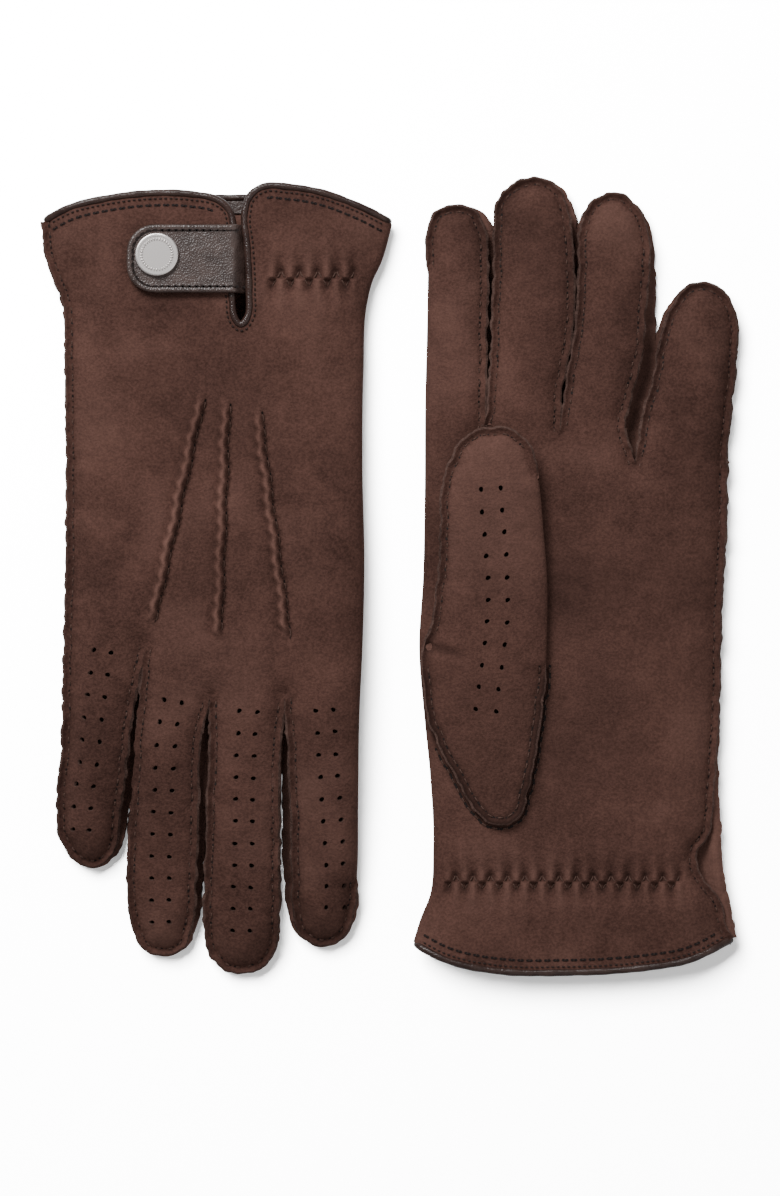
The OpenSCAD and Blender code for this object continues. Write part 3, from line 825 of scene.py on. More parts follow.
def make_object(name, vertices, faces, materials, indices=None, normals=None, shade=None):
    """A smooth-shaded mesh object that also keeps its rest positions for the materials."""
    mesh = bpy.data.meshes.new(name)
    mesh.from_pydata([tuple(v) for v in vertices], [], [tuple(f) for f in faces])
    for material in materials:
        mesh.materials.append(material)
    if indices is not None:
        mesh.polygons.foreach_set("material_index", np.asarray(indices, np.int32))
    mesh.polygons.foreach_set("use_smooth", np.ones(len(faces), bool))
    rest = mesh.attributes.new("rest", "FLOAT_VECTOR", "POINT")
    rest.data.foreach_set("vector", np.asarray(vertices, np.float32).ravel())
    # The 'shade' attribute: painted shade and highlight, darker raw edges and random tone, read by the suede
    if shade is not None:
        dark = mesh.attributes.new("shade", "FLOAT", "POINT")
        dark.data.foreach_set("value", np.asarray(shade, np.float32))
    mesh.update()
    if normals is not None:
        mesh.normals_split_custom_set_from_vertices([tuple(n) for n in normals])
    obj = bpy.data.objects.new(name, mesh)
    bpy.context.scene.collection.objects.link(obj)
    return obj


def boundary_edges(faces):
    """Directed edges that belong to one triangle only, and that triangle's number."""
    edges = np.concatenate([faces[:, [0, 1]], faces[:, [1, 2]], faces[:, [2, 0]]])
    owner = np.tile(np.arange(len(faces)), 3)
    key = np.sort(edges, axis=1)
    _, inverse, count = np.unique(key, axis=0, return_inverse=True, return_counts=True)
    single = count[inverse.ravel()] == 1
    return edges[single], owner[single]


class Shell:
    """A leather skin: an outer triangle mesh, thickened inwards, that can be handed out in parts."""

    def __init__(self, vertices, faces, thickness, shade=None, lip=None):
        self.outer = vertices
        self.faces = faces
        self.shade = np.zeros(len(vertices)) if shade is None else shade
        self.normals = vertex_normals(vertices, faces)
        self.inner = vertices - self.normals * thickness * MM
        self.rim, self.rim_owner = boundary_edges(faces)
        if lip is not None:
            self._cut_back(lip)

    def _sides(self, a, b):
        """Directions out of the rim, in the plane of the leather."""
        return unit(np.cross(self.outer[b] - self.outer[a], self.normals[a]))

    def _cut_back(self, lip):
        """The lower edge of a raw cut stands out past the upper one by lip, in mm."""
        a, b = self.rim.T
        side = self._sides(a, b)
        total = np.zeros_like(self.outer)
        np.add.at(total, a, side)
        np.add.at(total, b, side)
        self.inner = self.inner + unit(total) * lip[:, None] * MM

    def part(self, name, chosen, leather, raw):
        """The triangles in chosen as an object, with their inner side and the raw edges between."""
        faces = self.faces[chosen]
        used, compact = np.unique(faces, return_inverse=True)
        compact = compact.reshape(-1, 3)
        n = len(used)
        own = np.isin(self.rim_owner, np.flatnonzero(chosen))
        a, b = self.rim[own].T
        m = len(a)
        rim = np.concatenate([self.outer[a], self.outer[b], self.inner[b], self.inner[a]])
        side = self._sides(a, b) * 0.7 + self.normals[a] * 0.7
        vertices = np.concatenate([self.outer[used], self.inner[used], rim])
        normals = np.concatenate([self.normals[used], -self.normals[used], np.tile(side, (4, 1))])
        base = 2 * n
        k = np.arange(m)
        quads = np.stack([base + m + k, base + k, base + 3 * m + k, base + 2 * m + k], 1)
        all_faces = list(compact) + list(compact[:, ::-1] + n) + list(quads)
        indices = [0] * (2 * len(faces)) + [1] * m
        # The inner side is painted paler: painted light that lifts the shade where it shows between the
        # fingers
        shade = np.concatenate([self.shade[used], np.full(n, -0.35), np.zeros(4 * m)])
        return make_object(name, vertices, all_faces, [leather, raw], indices, normals, shade)


def grid_shell(name, grid, thickness, materials):
    """A strip given as rows of points, thickened to one side into a closed solid."""
    g = np.asarray(grid, float)
    rows, cols = g.shape[:2]
    v = g.reshape(-1, 3)
    index = np.arange(rows * cols).reshape(rows, cols)
    a, b = index[:-1, :-1].ravel(), index[:-1, 1:].ravel()
    c, d = index[1:, 1:].ravel(), index[1:, :-1].ravel()
    triangles = np.concatenate([np.stack([a, b, c], 1), np.stack([a, c, d], 1)])
    shell = Shell(v, triangles, thickness)
    return shell.part(name, np.ones(len(triangles), bool), materials[0], materials[-1])


def closed_roll(name, path, radii, material, sides=12):
    """A round roll along a closed path."""
    t = tangents(path, True)
    side = unit(np.cross(t, [0, 0, 1.0]))
    top = np.cross(side, t)
    a = angles(sides)[None, :, None]
    rings = path[:, None] + radii[:, None, None] * (np.cos(a) * side[:, None] + np.sin(a) * top[:, None])
    faces = []
    for i in range(len(path)):
        j = (i + 1) % len(path)
        for k in range(sides):
            m = (k + 1) % sides
            faces.append((i * sides + k, i * sides + m, j * sides + m, j * sides + k))
    return make_object(name, rings.reshape(-1, 3), faces, [material])


def stitches(name, places, ways, ups, length, material, radius=THREAD / 2, holes=True):
    """Short threads at places, each bent so that its ends go into the leather."""
    sides = 6
    stations = np.linspace(-1, 1, 7)
    places, ways, ups = (np.asarray(q, float) for q in (places, ways, ups))
    ways = unit(ways)
    across = unit(np.cross(ways, ups))
    ups = np.cross(across, ways)
    a = angles(sides)
    thick = radius * np.sqrt(np.clip(1.02 - stations**4, 0.05, 1))
    sink = 0.9 * radius - 2.6 * radius * stations**4
    half = length / 2 * MM
    v = (
        places[:, None, None]
        + ways[:, None, None] * (stations * half)[None, :, None, None]
        + ups[:, None, None] * (sink * MM)[None, :, None, None]
        + across[:, None, None] * (thick[:, None] * np.cos(a) * MM)[None, :, :, None]
        + ups[:, None, None] * (thick[:, None] * np.sin(a) * MM)[None, :, :, None]
    )
    n = len(stations)
    faces = []
    for s in range(len(places)):
        base = s * n * sides
        for i in range(n - 1):
            for k in range(sides):
                m = (k + 1) % sides
                low, high = base + i * sides, base + (i + 1) * sides
                faces.append((low + k, low + m, high + m, high + k))
    if not holes:
        return make_object(name, v.reshape(-1, 3), faces, [material])
    # Flat dark discs at both ends of each stitch, painted as the shade in the holes the needle leaves
    vertices = [v.reshape(-1, 3)]
    indices = [0] * len(faces)
    base = len(vertices[0])
    b = angles(8)[None, :, None]
    for end in (-1, 1):
        centre = places + ways * (end * half * 1.05) + ups * 0.05 * MM
        flat = ways[:, None] * np.cos(b) * 1.35 + across[:, None] * np.sin(b)
        vertices.append((centre[:, None] + flat * NEEDLE * MM).reshape(-1, 3))
        for s in range(len(places)):
            faces.append(tuple(base + s * 8 + k for k in range(8)))
            indices.append(1)
        base += 8 * len(places)
    return make_object(name, np.concatenate(vertices), faces, [material, NEEDLE_HOLE_SHADE], indices)


# ---- Materials ----

SUEDE_DARK = (0.030, 0.0136, 0.0105, 1)
SUEDE_LIGHT = (0.094, 0.0450, 0.0350, 1)
# Painted shade and darker tone, then painted highlight and paler tone, which the 'shade' attribute mixes into
# the suede
SUEDE_SHADE_AND_DARK_TONE = (0.010, 0.0045, 0.0036, 1)
SUEDE_HIGHLIGHT_AND_PALE_TONE = (0.170, 0.088, 0.070, 1)
EDGE_DARK = (0.014, 0.007, 0.0055, 1)
EDGE_LIGHT = (0.10, 0.058, 0.048, 1)
SIDE_DARK = (0.032, 0.015, 0.012, 1)
SIDE_LIGHT = (0.098, 0.049, 0.039, 1)
SMOOTH_DARK = (0.026, 0.0145, 0.012, 1)
SMOOTH_LIGHT = (0.052, 0.032, 0.027, 1)
BINDING_DARK = (0.022, 0.011, 0.009, 1)
BINDING_LIGHT = (0.038, 0.021, 0.017, 1)


class Nodes:
    """A small helper for writing a material's nodes."""

    def __init__(self, name):
        self.material = bpy.data.materials.new(name)
        self.material.use_nodes = True
        self.tree = self.material.node_tree
        self.shader = self.tree.nodes["Principled BSDF"]
        rest = self.add("ShaderNodeAttribute")
        rest.attribute_name = "rest"
        self.rest = rest.outputs["Vector"]

    def add(self, kind, **inputs):
        node = self.tree.nodes.new(kind)
        for key, value in inputs.items():
            self.put(node.inputs[key.replace("_", " ")], value)
        return node

    def put(self, socket, value):
        """Links a socket to another one, or sets it."""
        if isinstance(value, bpy.types.NodeSocket):
            self.tree.links.new(value, socket)
        else:
            socket.default_value = value

    def noise(self, size, detail=3.0, rough=0.55):
        """Noise with features about size mm across."""
        settings = {"Scale": 1000 / size, "Detail": detail, "Roughness": rough}
        return self.add("ShaderNodeTexNoise", Vector=self.rest, **settings).outputs[0]

    def mix(self, factor, a, b, low=0.35, high=0.65):
        """a where factor is low, b where it is high."""
        ramp = self.add("ShaderNodeMapRange", Value=factor, From_Min=low, From_Max=high)
        node = self.tree.nodes.new("ShaderNodeMix")
        node.data_type = "RGBA"
        self.put(node.inputs[0], ramp.outputs[0])
        self.put(node.inputs[6], a)
        self.put(node.inputs[7], b)
        return node.outputs[2]

    def bump(self, height, depth, strength=1.0, below=None):
        """A bump depth mm deep, over another one."""
        node = self.add("ShaderNodeBump", Height=height, Distance=depth * MM, Strength=strength)
        if below is not None:
            self.put(node.inputs["Normal"], below)
        return node.outputs[0]

    def finish(self, color, roughness, normal, **constants):
        """Links the shader and sets the rest of its sockets."""
        self.put(self.shader.inputs["Base Color"], color)
        self.put(self.shader.inputs["Roughness"], roughness)
        self.put(self.shader.inputs["Normal"], normal)
        for key, value in constants.items():
            self.shader.inputs[key.replace("_", " ")].default_value = value
        return self.material


def suede(name, dark, light):
    """Brushed leather: mottled by the nap's lie, soft at grazing angles, with painted shade, painted
    highlight, darker raw edges and random tone mixed in from the 'shade' attribute.
    """
    n = Nodes(name)
    broad = n.mix(n.noise(60, 3, 0.55), dark, light, 0.40, 0.60)
    patch = n.mix(n.noise(19, 4, 0.65), dark, light, 0.40, 0.60)
    small = n.mix(n.noise(4, 4, 0.7), dark, light, 0.36, 0.64)
    nap = n.noise(0.8, 3, 0.7)
    grain = n.mix(nap, dark, light, 0.38, 0.62)
    color = n.mix(0.5, broad, patch, 0.1, 0.9)
    color = n.mix(0.5, color, small, 0.2, 1.0)
    color = n.mix(0.5, color, grain, 0.15, 1.0)
    painted_shade_and_tone = n.add("ShaderNodeAttribute")
    painted_shade_and_tone.attribute_name = "shade"
    # Positive 'shade' mixes towards painted shade and darker tone, negative towards painted highlight and
    # paler tone
    color = n.mix(painted_shade_and_tone.outputs["Fac"], color, SUEDE_SHADE_AND_DARK_TONE, 0, 1)
    color = n.mix(painted_shade_and_tone.outputs["Fac"], color, SUEDE_HIGHLIGHT_AND_PALE_TONE, 0, -1)
    normal = n.bump(n.noise(3.2, 4, 0.65), 0.32)
    normal = n.bump(nap, 0.20, below=normal)
    tint = tuple(min(1, 9 * c) for c in light[:3]) + (1,)
    sheen = {"Sheen_Weight": 0.10, "Sheen_Roughness": 0.38, "Sheen_Tint": tint}
    return n.finish(color, 0.92, normal, Specular_IOR_Level=0.10, **sheen)


def smooth_leather(name, dark, light, roughness=0.36, shine=0.42, coat=0.10):
    """Finished leather with a fine pebble grain."""
    n = Nodes(name)
    pebble = n.add("ShaderNodeTexVoronoi", Vector=n.rest, Scale=1900)
    color = n.mix(n.noise(5, 3), dark, light)
    normal = n.bump(pebble.outputs["Distance"], 0.13, 0.9)
    normal = n.bump(n.noise(3.5, 2), 0.07, below=normal)
    return n.finish(color, roughness, normal, Specular_IOR_Level=shine, Coat_Weight=coat, Coat_Roughness=0.35)


def metal():
    """Brushed pale metal for the snap."""
    n = Nodes("snap metal")
    color = n.mix(n.noise(4, 2), (0.64, 0.60, 0.58, 1), (0.72, 0.68, 0.66, 1))
    normal = n.bump(n.noise(0.5, 2), 0.008)
    return n.finish(color, 0.34, normal, Metallic=1.0)


def ribbed(name, dark, light):
    """Woven ribbon with fine ribs."""
    n = Nodes(name)
    wave = n.add("ShaderNodeTexWave", Vector=n.rest, Scale=260.0)
    color = n.mix(wave.outputs["Fac"], dark, light, 0, 1)
    return n.finish(color, 0.8, n.bump(wave.outputs["Fac"], 0.15))


def thread_material(name, dark, light):
    """Twisted thread."""
    n = Nodes(name)
    twist = n.noise(0.35, 2)
    return n.finish(n.mix(twist, dark, light), 0.75, n.bump(twist, 0.05), Specular_IOR_Level=0.2)


SUEDE = suede("suede", SUEDE_DARK, SUEDE_LIGHT)
SUEDE_EDGE = suede("suede raw edge", EDGE_DARK, EDGE_LIGHT)
SIDE_SUEDE = suede("fourchette suede", SIDE_DARK, SIDE_LIGHT)
SMOOTH = smooth_leather("smooth leather", SMOOTH_DARK, SMOOTH_LIGHT)
BINDING = smooth_leather("binding leather", BINDING_DARK, BINDING_LIGHT, 0.22, 0.24, 0.03)
LINING = smooth_leather("lining leather", (0.03, 0.022, 0.02, 1), (0.05, 0.036, 0.032, 1), 0.6)
METAL = metal()
ELASTIC = ribbed("elastic ribbon", (0.012, 0.009, 0.008, 1), (0.03, 0.022, 0.02, 1))
THREAD_SUEDE = thread_material("brown thread", (0.040, 0.020, 0.015, 1), (0.085, 0.046, 0.036, 1))
# Near black, for the flat discs painted as the shade in the holes a needle leaves
NEEDLE_HOLE_SHADE = thread_material("needle hole shade", (0.006, 0.003, 0.003, 1), (0.010, 0.005, 0.004, 1))
THREAD_DARK = thread_material("dark thread", (0.012, 0.007, 0.006, 1), (0.030, 0.018, 0.015, 1))


# ---- Riding, and pieces baked in place ----


def rides(obj, body, slot, *nodes):
    """A piece that moves with one body, in the place of CAD nodes if any are named."""
    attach(obj, body)
    if nodes:
        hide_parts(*nodes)


def bends(obj, glove, finger, slot, *nodes):
    """A finger's piece, with its transform baked into its mesh, in the place of CAD nodes if any are named;
    its knuckle, over BEND mm from its cut, is worked out but not used.
    """
    cut = FINGER_CUT[finger]
    start, end = glove.world([(0, cut, 0), (0, cut + BEND, 0)])
    glove.body("hand")
    glove.body(finger)
    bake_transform(obj)
    if nodes:
        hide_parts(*nodes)


def bends_thumb(obj, glove, slot, *nodes):
    """A thumb's piece, with its transform baked into its mesh, in the place of CAD nodes if any are named;
    the span across its oblique crease is worked out but not used.
    """
    hinge = np.array(THUMB_HINGE)
    flat = np.column_stack([[hinge - THUMB_OUT * THUMB_START, hinge + THUMB_OUT * THUMB_END], [0, 0]])
    start, end = glove.world(flat)
    glove.body("hand")
    glove.body("thumb")
    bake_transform(obj)
    if nodes:
        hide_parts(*nodes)


# ---- The skins of hand and fingers ----


def leather_shell(glove, sheets):
    """Sheets joined along their folds into one skin, with the number of each triangle's part."""
    vertices, faces, parts, shades, lips = [], [], [], [], []
    seen = {}
    count = 0
    for sheet in sheets:
        xy, triangles = triangulate(sheet.outline, sheet.face, sheet.holes, sheet.cuts(), sheet.way > 0)
        d, _, facts = sheet.border.look(xy)
        shades.append(sheet.shade(xy))
        lips.append(np.where(d < 1e-3, 0.5 * facts["raw"], sheet.hole_lip(xy)))
        numbers = np.arange(len(xy)) + count
        for k in np.flatnonzero((d < 1e-3) & (facts["raw"] < 0.02)):
            key = tuple(np.round(xy[k], 2))
            numbers[k] = seen.setdefault(key, numbers[k])
        vertices.append(sheet.raise_to(xy))
        parts.append(sheet.parts(xy[triangles].mean(1)))
        faces.append(numbers[triangles])
        count += len(xy)
    points = glove.world(np.concatenate(vertices))
    shell = Shell(points, np.concatenate(faces), LEATHER, np.concatenate(shades), np.concatenate(lips))
    return shell, np.concatenate(parts)


def build_skin(glove, sheets):
    """The suede of the hand and the four fingers, back and palm in one skin."""
    shell, parts = leather_shell(glove, sheets)
    hand = shell.part(glove.body("hand_leather"), parts == 0, SUEDE, SUEDE_EDGE)
    rides(hand, glove.body("hand"), "suede", glove.body("hand_shell"))
    for number, name in enumerate(FINGERS):
        stall = shell.part(glove.body(name + "_leather"), parts == number + 1, SUEDE, SUEDE_EDGE)
        bends(stall, glove, name, "suede", glove.body(name + "_stall"))


def build_fourchettes(glove, sheets):
    """The strips between the back and palm of neighbouring fingers, folded inwards."""
    upper, lower = sheets
    high = upper.raise_to(upper.border.xy)
    low = lower.raise_to(lower.border.xy)
    normal = (inward_normals(high[:, :2]) + inward_normals(low[:, :2])) / 2
    normal = unit(blur(normal, 3))
    gap = upper.border.facts["gap"]
    across = np.linspace(0, 1, 13)
    tuck = FLANGE * smoothstep(across / 0.16) * smoothstep((1 - across) / 0.16)
    tuck += 3.3 * np.sin(np.pi * np.clip((across - 0.16) / 0.68, 0, 1))
    share = smoothstep((across - 0.12) / 0.76)
    width = np.clip(gap / GAP_EDGE, 0.05, 1)[:, None]
    uneven = 0.3 * noise(high[:, 0], high[:, 1], 1.7, 8)[:, None] * (across < 0.1)
    tuck = tuck * (0.3 + 0.7 * width) - 0.25 + uneven
    grid = np.empty((len(high), len(across), 3))
    for k in range(2):
        between = high[:, k, None] * (1 - share) + low[:, k, None] * share
        grid[..., k] = between + normal[:, k, None] * tuck
    grid[..., 2] = (high[:, 2, None] - LEATHER) * (1 - share) + (low[:, 2, None] + LEATHER) * share
    y = upper.border.xy[:, 1]
    cut = np.array([FINGER_CUT[name] for name in FINGERS])[upper.finger]
    tips = []
    for number, name in enumerate(FINGERS):
        own = np.flatnonzero(upper.finger == number)
        tip = own[y[own].argmax()]
        tips.append(tip)
        plural = "_fourchettes" if name in ("ring", "middle") else "_fourchette"
        for half, rows in enumerate((own[own <= tip], own[own >= tip])):
            rows = rows[gap[rows] > 0.12]
            if len(rows) < 4 or y[rows].max() < 150:
                continue
            past = rows[y[rows] > FINGER_CUT[name] - STEP]
            strip = make_strip(glove, grid[past], glove.body(f"{name}_fourchette_{half + 1}"))
            bends(strip, glove, name, "fourchette_suede", glove.body(name + plural))
    for number in range(3):
        rows = np.arange(tips[number] + 1, tips[number + 1])
        rows = rows[y[rows] <= cut[rows]]
        if len(rows) < 3:  # this slit ends where the fingers do, so it has no root
            continue
        strip = make_strip(glove, grid[rows], glove.body(f"fourchette_root_{number + 1}"))
        rides(strip, glove.body("hand"), "fourchette_suede", glove.body("fourchette_roots"))


def make_strip(glove, grid, name):
    points = glove.world(grid).reshape(grid.shape)
    return grid_shell(name, points[:, ::-1], FOURCHETTE, (SIDE_SUEDE, SUEDE_EDGE))


# ---- The thumb ----


class ThumbSheet(Surface):
    """One face of the thumb, which lies folded over the palm; heights are measured out from the palm."""

    def __init__(self, glove, outer):
        self.glove = glove
        self.outer = outer
        self.way = glove.side * (1 if outer else -1)
        self.face = "thumb"
        p = spline(THUMB_EDGE, STEP)[:-1]
        tip = p[:, 1].argmax()
        number = np.arange(len(p))
        fold = ((number < tip) | (number > len(p) - 20)) & (p[:, 1] > THUMB_SEWN_Y) & (p[:, 1] < 151)
        raw = blur(np.where(fold, 0.0, 1.0), 5)
        waver = 0.4 * noise(p[:, 0], p[:, 1], 3.1, 41) + 0.45 * noise(p[:, 0], p[:, 1], 1.6, 42)
        p = p + inward_normals(p) * (waver * raw * 0.7)[:, None]
        if glove.side < 0:  # nothing of the right thumb shows past the hand that lies on it
            p[:, 0] += 3.0 * smoothstep((-37 - p[:, 0]) / 8)
        self.outline = p
        self.border = Border(np.vstack([p, p[:1]]), raw=np.append(raw, raw[:1]))
        self.holes = thumb_holes() if outer else np.zeros((0, 2))

    def height(self, points):
        x, y = points[:, 0], points[:, 1]
        d, _, facts = self.border.look(points)
        raw = facts["raw"]
        # the right palm's height above the table, which its thumb fills; the left thumb is as thick
        top = RIGHT_PALM[0] + RIGHT_PALM[1] * y - 0.25
        free = smoothstep((y - 90) / 22)
        seam = top - THUMB_DEPTH / 2
        inner = np.maximum(d - FLANGE * raw, 0)
        full = crown(inner / 11.5, raw)
        ruffle = 0.5 * seam_ruffle(x, y, d) * raw
        relief = smoothstep(d / 4) * 0.6 * soft_relief(x, y, 57)
        if self.outer:
            gape = 1.1 + 0.9 * smoothstep((x + 24) / 8) * smoothstep((y - 46) / 12)
            edge = (LEATHER + gape) * (1 - free) + (seam + LEATHER * raw) * free
            curl = 0.6 * raw * bell(d, 0.8) - 0.35 * raw * bell(d - FLANGE, 0.6)
            w = edge + (top - edge) * full + relief + ruffle + curl - self.crease(x, y)
        else:
            edge = 0.2 * (1 - free) + (seam - LEATHER * raw) * free
            low = np.maximum(top - THUMB_DEPTH, 0.1)
            w = edge + (low - edge) * full + ruffle
            w = np.where(y > 100, w, np.maximum(w, -0.4))
        return self.glove.palm_z(y) + self.glove.side * w

    def crease(self, x, y):
        """The short fold that runs in from the seam where the thumb leaves its base."""
        line = y - 97.5 + 0.25 * (x + 40)
        return 1.5 * bell(line, 1.6) * smoothstep((-30 - x) / 9)

    def shade(self, points):
        d, _, facts = self.border.look(points)
        raw = facts["raw"]
        # Painted shade towards the thumb's base, painted highlight towards its tip and painted shade in its
        # crease
        base = smoothstep((98 - points[:, 1]) / 10)
        # Darker along raw edges, and painted shade in the stitched groove just inside them
        dark = raw * (0.4 * bell(d, 1.2) + 0.25 * bell(d - FLANGE, 0.6))
        light = 0.22 * smoothstep((points[:, 1] - 100) / 35)
        return np.clip(dark * (1 + 0.8 * base) + 0.3 * self.crease(*points.T) - light + 0.1 * base, -1, 1)

    def cuts(self):
        """The line across the thumb where its bend starts, from edge to edge."""
        middle = np.array(THUMB_HINGE) - THUMB_OUT * THUMB_START
        cut = middle + np.linspace(-30, 30, 50)[:, None] * THUMB_ALONG
        first, last = np.flatnonzero(inside(cut, self.outline))[[0, -1]]
        return [cut[first - 1 : last + 2]]

    def parts(self, centre):
        """1 for the part past where the thumb's bend starts, 0 for the thumb's base."""
        return thumb_side(centre) > -THUMB_START

    def hole_lip(self, xy):
        return 0.12


def thumb_side(xy):
    """How far points are past the thumb's oblique crease."""
    x, y = np.asarray(xy, float).T
    return (x - THUMB_HINGE[0]) * THUMB_OUT[0] + (y - THUMB_HINGE[1]) * THUMB_OUT[1]


def build_thumb(glove):
    """The thumb's suede: its base on the palm and the stall that turns up."""
    shell, past = leather_shell(glove, (ThumbSheet(glove, True), ThumbSheet(glove, False)))
    base = shell.part(glove.body("thumb_base_leather"), ~past, SUEDE, SUEDE_EDGE)
    rides(base, glove.body("hand"), "suede", glove.body("thumb_base"))
    stall = shell.part(glove.body("thumb_leather"), past, SUEDE, SUEDE_EDGE)
    bends_thumb(stall, glove, "suede", glove.body("thumb_stall"))


# ---- Stitches ----


def sewn(glove, name, sheet, xy, ways, length, material, out=0.0, holes=True):
    """Stitches on a sheet at xy, along ways."""
    places = glove.world(sheet.raise_to(xy, out + 0.08))
    ahead = glove.world(sheet.raise_to(xy + ways * 0.6, out + 0.08)) - places
    ups = sheet.normal(xy) * [glove.side, glove.side, 1]
    return stitches(name, places, ahead, ups, length, material, holes=holes)


def row_beside(path, inset, spacing):
    """Places spaced along a path and moved inset to its left, and the way along it."""
    p = resample(path, 0.4)
    n = blur(inward_normals(p), 4)
    q = resample(p + n * inset, spacing)
    return q, tangents(q)


def seam_rows(sheet):
    """Stitch places along every raw seam of a glove's sheet."""
    raw = sheet.border.facts["raw"] > 0.6
    xy, ways = [], []
    for number in range(4):
        own = (sheet.finger == number) & raw
        path = sheet.border.xy[own]
        q, w = row_beside(path, FLANGE + 0.1, SEAM_SPACING)
        d, _, _ = sheet.border.look(q)
        keep = (d > FLANGE - 0.25) & (d < FLANGE + 0.6)
        xy.append(q[keep])
        ways.append(w[keep])
    return np.concatenate(xy), np.concatenate(ways)


def build_seam_threads(glove, sheets):
    """Stitches beside the raw edges of hand and fingers."""
    for sheet in sheets:
        xy, ways = seam_rows(sheet)
        part = sheet.parts(xy)
        for number, name in enumerate(("hand",) + FINGERS):
            own = part == number
            if not own.any():
                continue
            title = glove.body(f"{name}_{sheet.face}_seam_thread")
            thread = sewn(glove, title, sheet, xy[own], ways[own], SEAM_STITCH, THREAD_SUEDE)
            if number == 0:
                rides(thread, glove.body("hand"), "suede")
            else:
                bends(thread, glove, name, "suede")


def build_point_threads(glove, sheet):
    """Long stitches along the thumb side of the three points."""
    xy, ways = [], []
    for a, b in ridge_lines():
        length = np.linalg.norm(b - a)
        way = (b - a) / length
        side = np.array([way[1], -way[0]])
        s = np.arange(POINT_STITCH / 2, length - 1, POINT_STITCH)
        xy.append(a + s[:, None] * way - (1.55 + ridge_waver(s))[:, None] * side)
        ways.append(np.tile(way, (len(s), 1)))
    xy, ways = np.concatenate(xy), np.concatenate(ways)
    thread = sewn(glove, glove.body("point_thread"), sheet, xy, ways, POINT_THREAD, THREAD_SUEDE)
    rides(thread, glove.body("hand"), "suede")


def build_gather_thread(glove, sheet):
    """The zigzag over the wrist elastic, two stitches to each leg."""
    corner = zigzag(sheet.face)
    share = np.array([0.25, 0.75])
    a, b = corner[:-1], corner[1:]
    xy = (a[:, None] + (b - a)[:, None] * share[None, :, None]).reshape(-1, 2)
    ways = np.repeat(unit(b - a), 2, axis=0)
    reach = np.linalg.norm(b[0] - a[0]) / 2
    title = glove.body(f"gather_{sheet.face}_thread")
    thread = sewn(glove, title, sheet, xy, ways, reach * 0.94, THREAD_SUEDE, out=-0.1, holes=False)
    rides(thread, glove.body("hand"), "elastic")


def build_hem_threads(glove, sheet):
    """A close row beside the binding and a running row farther in."""
    hem = sheet.hem[::-1]
    for number, (inset, spacing, length, running) in enumerate(HEM_ROWS):
        q, ways = row_beside(hem, inset, spacing)
        closed, _, _ = sheet.border.look(q)
        d = sheet.hem_distance(q)
        keep = (closed > 2.6) & (d > inset - 0.45) & inside(q, sheet.outline)
        if running:
            keep &= (np.abs(ways[:, 1]) < 0.6) & (q[:, 1] < 14)
        title = glove.body(f"hem_{sheet.face}_thread_{number + 1}")
        thread = sewn(glove, title, sheet, q[keep], ways[keep], length, THREAD_DARK, holes=running)
        rides(thread, glove.body("hand"), "smooth_leather")


def build_thumb_threads(glove, palm):
    """Stitches round the thumb's tip and foot, and on the palm beside the foot."""
    sheet = ThumbSheet(glove, True)
    raw = sheet.border.facts["raw"][:-1] > 0.6
    xy = sheet.outline
    tip = xy[:, 1].argmax()
    after = np.arange(len(xy)) >= tip - 12
    free = raw & (xy[:, 1] > 98) & after
    q, ways = row_beside(xy[free], FLANGE, THUMB_SPACING)
    past = thumb_side(q) > -THUMB_START
    title = glove.body("thumb_thread")
    thread = sewn(glove, title, sheet, q[past], ways[past], SEAM_STITCH, THREAD_SUEDE)
    bends_thumb(thread, glove, "suede")
    base = np.flatnonzero(xy[:, 1] < THUMB_SEWN_Y)
    path = xy[base[base > tip]]
    q, ways = row_beside(path, FLANGE, THUMB_SPACING)
    thread = sewn(glove, glove.body("thumb_base_thread"), sheet, q, ways, BASE_STITCH, THREAD_SUEDE)
    rides(thread, glove.body("hand"), "suede")
    q, ways = row_beside(path, -1.6, THUMB_SPACING)
    d, _, _ = palm.border.look(q)
    q, ways = q[d > 2.5], ways[d > 2.5]
    thread = sewn(glove, glove.body("thumb_palm_thread"), palm, q, ways, BASE_STITCH, THREAD_SUEDE)
    rides(thread, glove.body("hand"), "suede")


# ---- Cuff ----


def build_binding(glove, sheets):
    """The rolled edge round the hem and the vent, as one closed loop."""
    upper, lower = sheets
    rows = []
    for sheet, order in ((upper, 1), (lower, -1)):
        hem = resample(sheet.hem, STEP)
        xy = hem + inward_normals(hem) * 0.25
        z = sheet.height(hem) - sheet.way * LEATHER / 2
        rows.append(np.column_stack([xy, z])[::order])
    path = np.concatenate([rows[0][1:-1], rows[1][1:-1]])
    path = np.stack([np.convolve(np.r_[c[-2:], c, c[:2]], np.ones(5) / 5, "valid") for c in path.T], 1)
    s = arc_length(path)
    radius = (BINDING_R + 0.05 * np.sin(s / 2.1) + 0.04 * np.sin(s / 0.9)) * MM
    obj = closed_roll(glove.body("cuff_binding_roll"), glove.world(path), radius, BINDING)
    rides(obj, glove.body("hand"), "smooth_leather", glove.body("cuff_binding"))


def inner_band(glove, sheet, path, first, last, name, material):
    """A band just inside a sheet, from first to last mm in from a path."""
    p = resample(path, 1.0)
    n = blur(inward_normals(p), 6)
    grid = []
    for depth in np.linspace(first, last, 6):
        xy = p + n * depth
        z = sheet.height(xy) - sheet.way * (LEATHER + 0.1)
        grid.append(np.column_stack([xy, z]))
    grid = np.stack(grid, 1)
    if sheet.way > 0:
        grid = grid[:, ::-1]
    points = glove.world(grid).reshape(grid.shape)
    return grid_shell(name, points[:, ::-1], -BAND, (material, material))


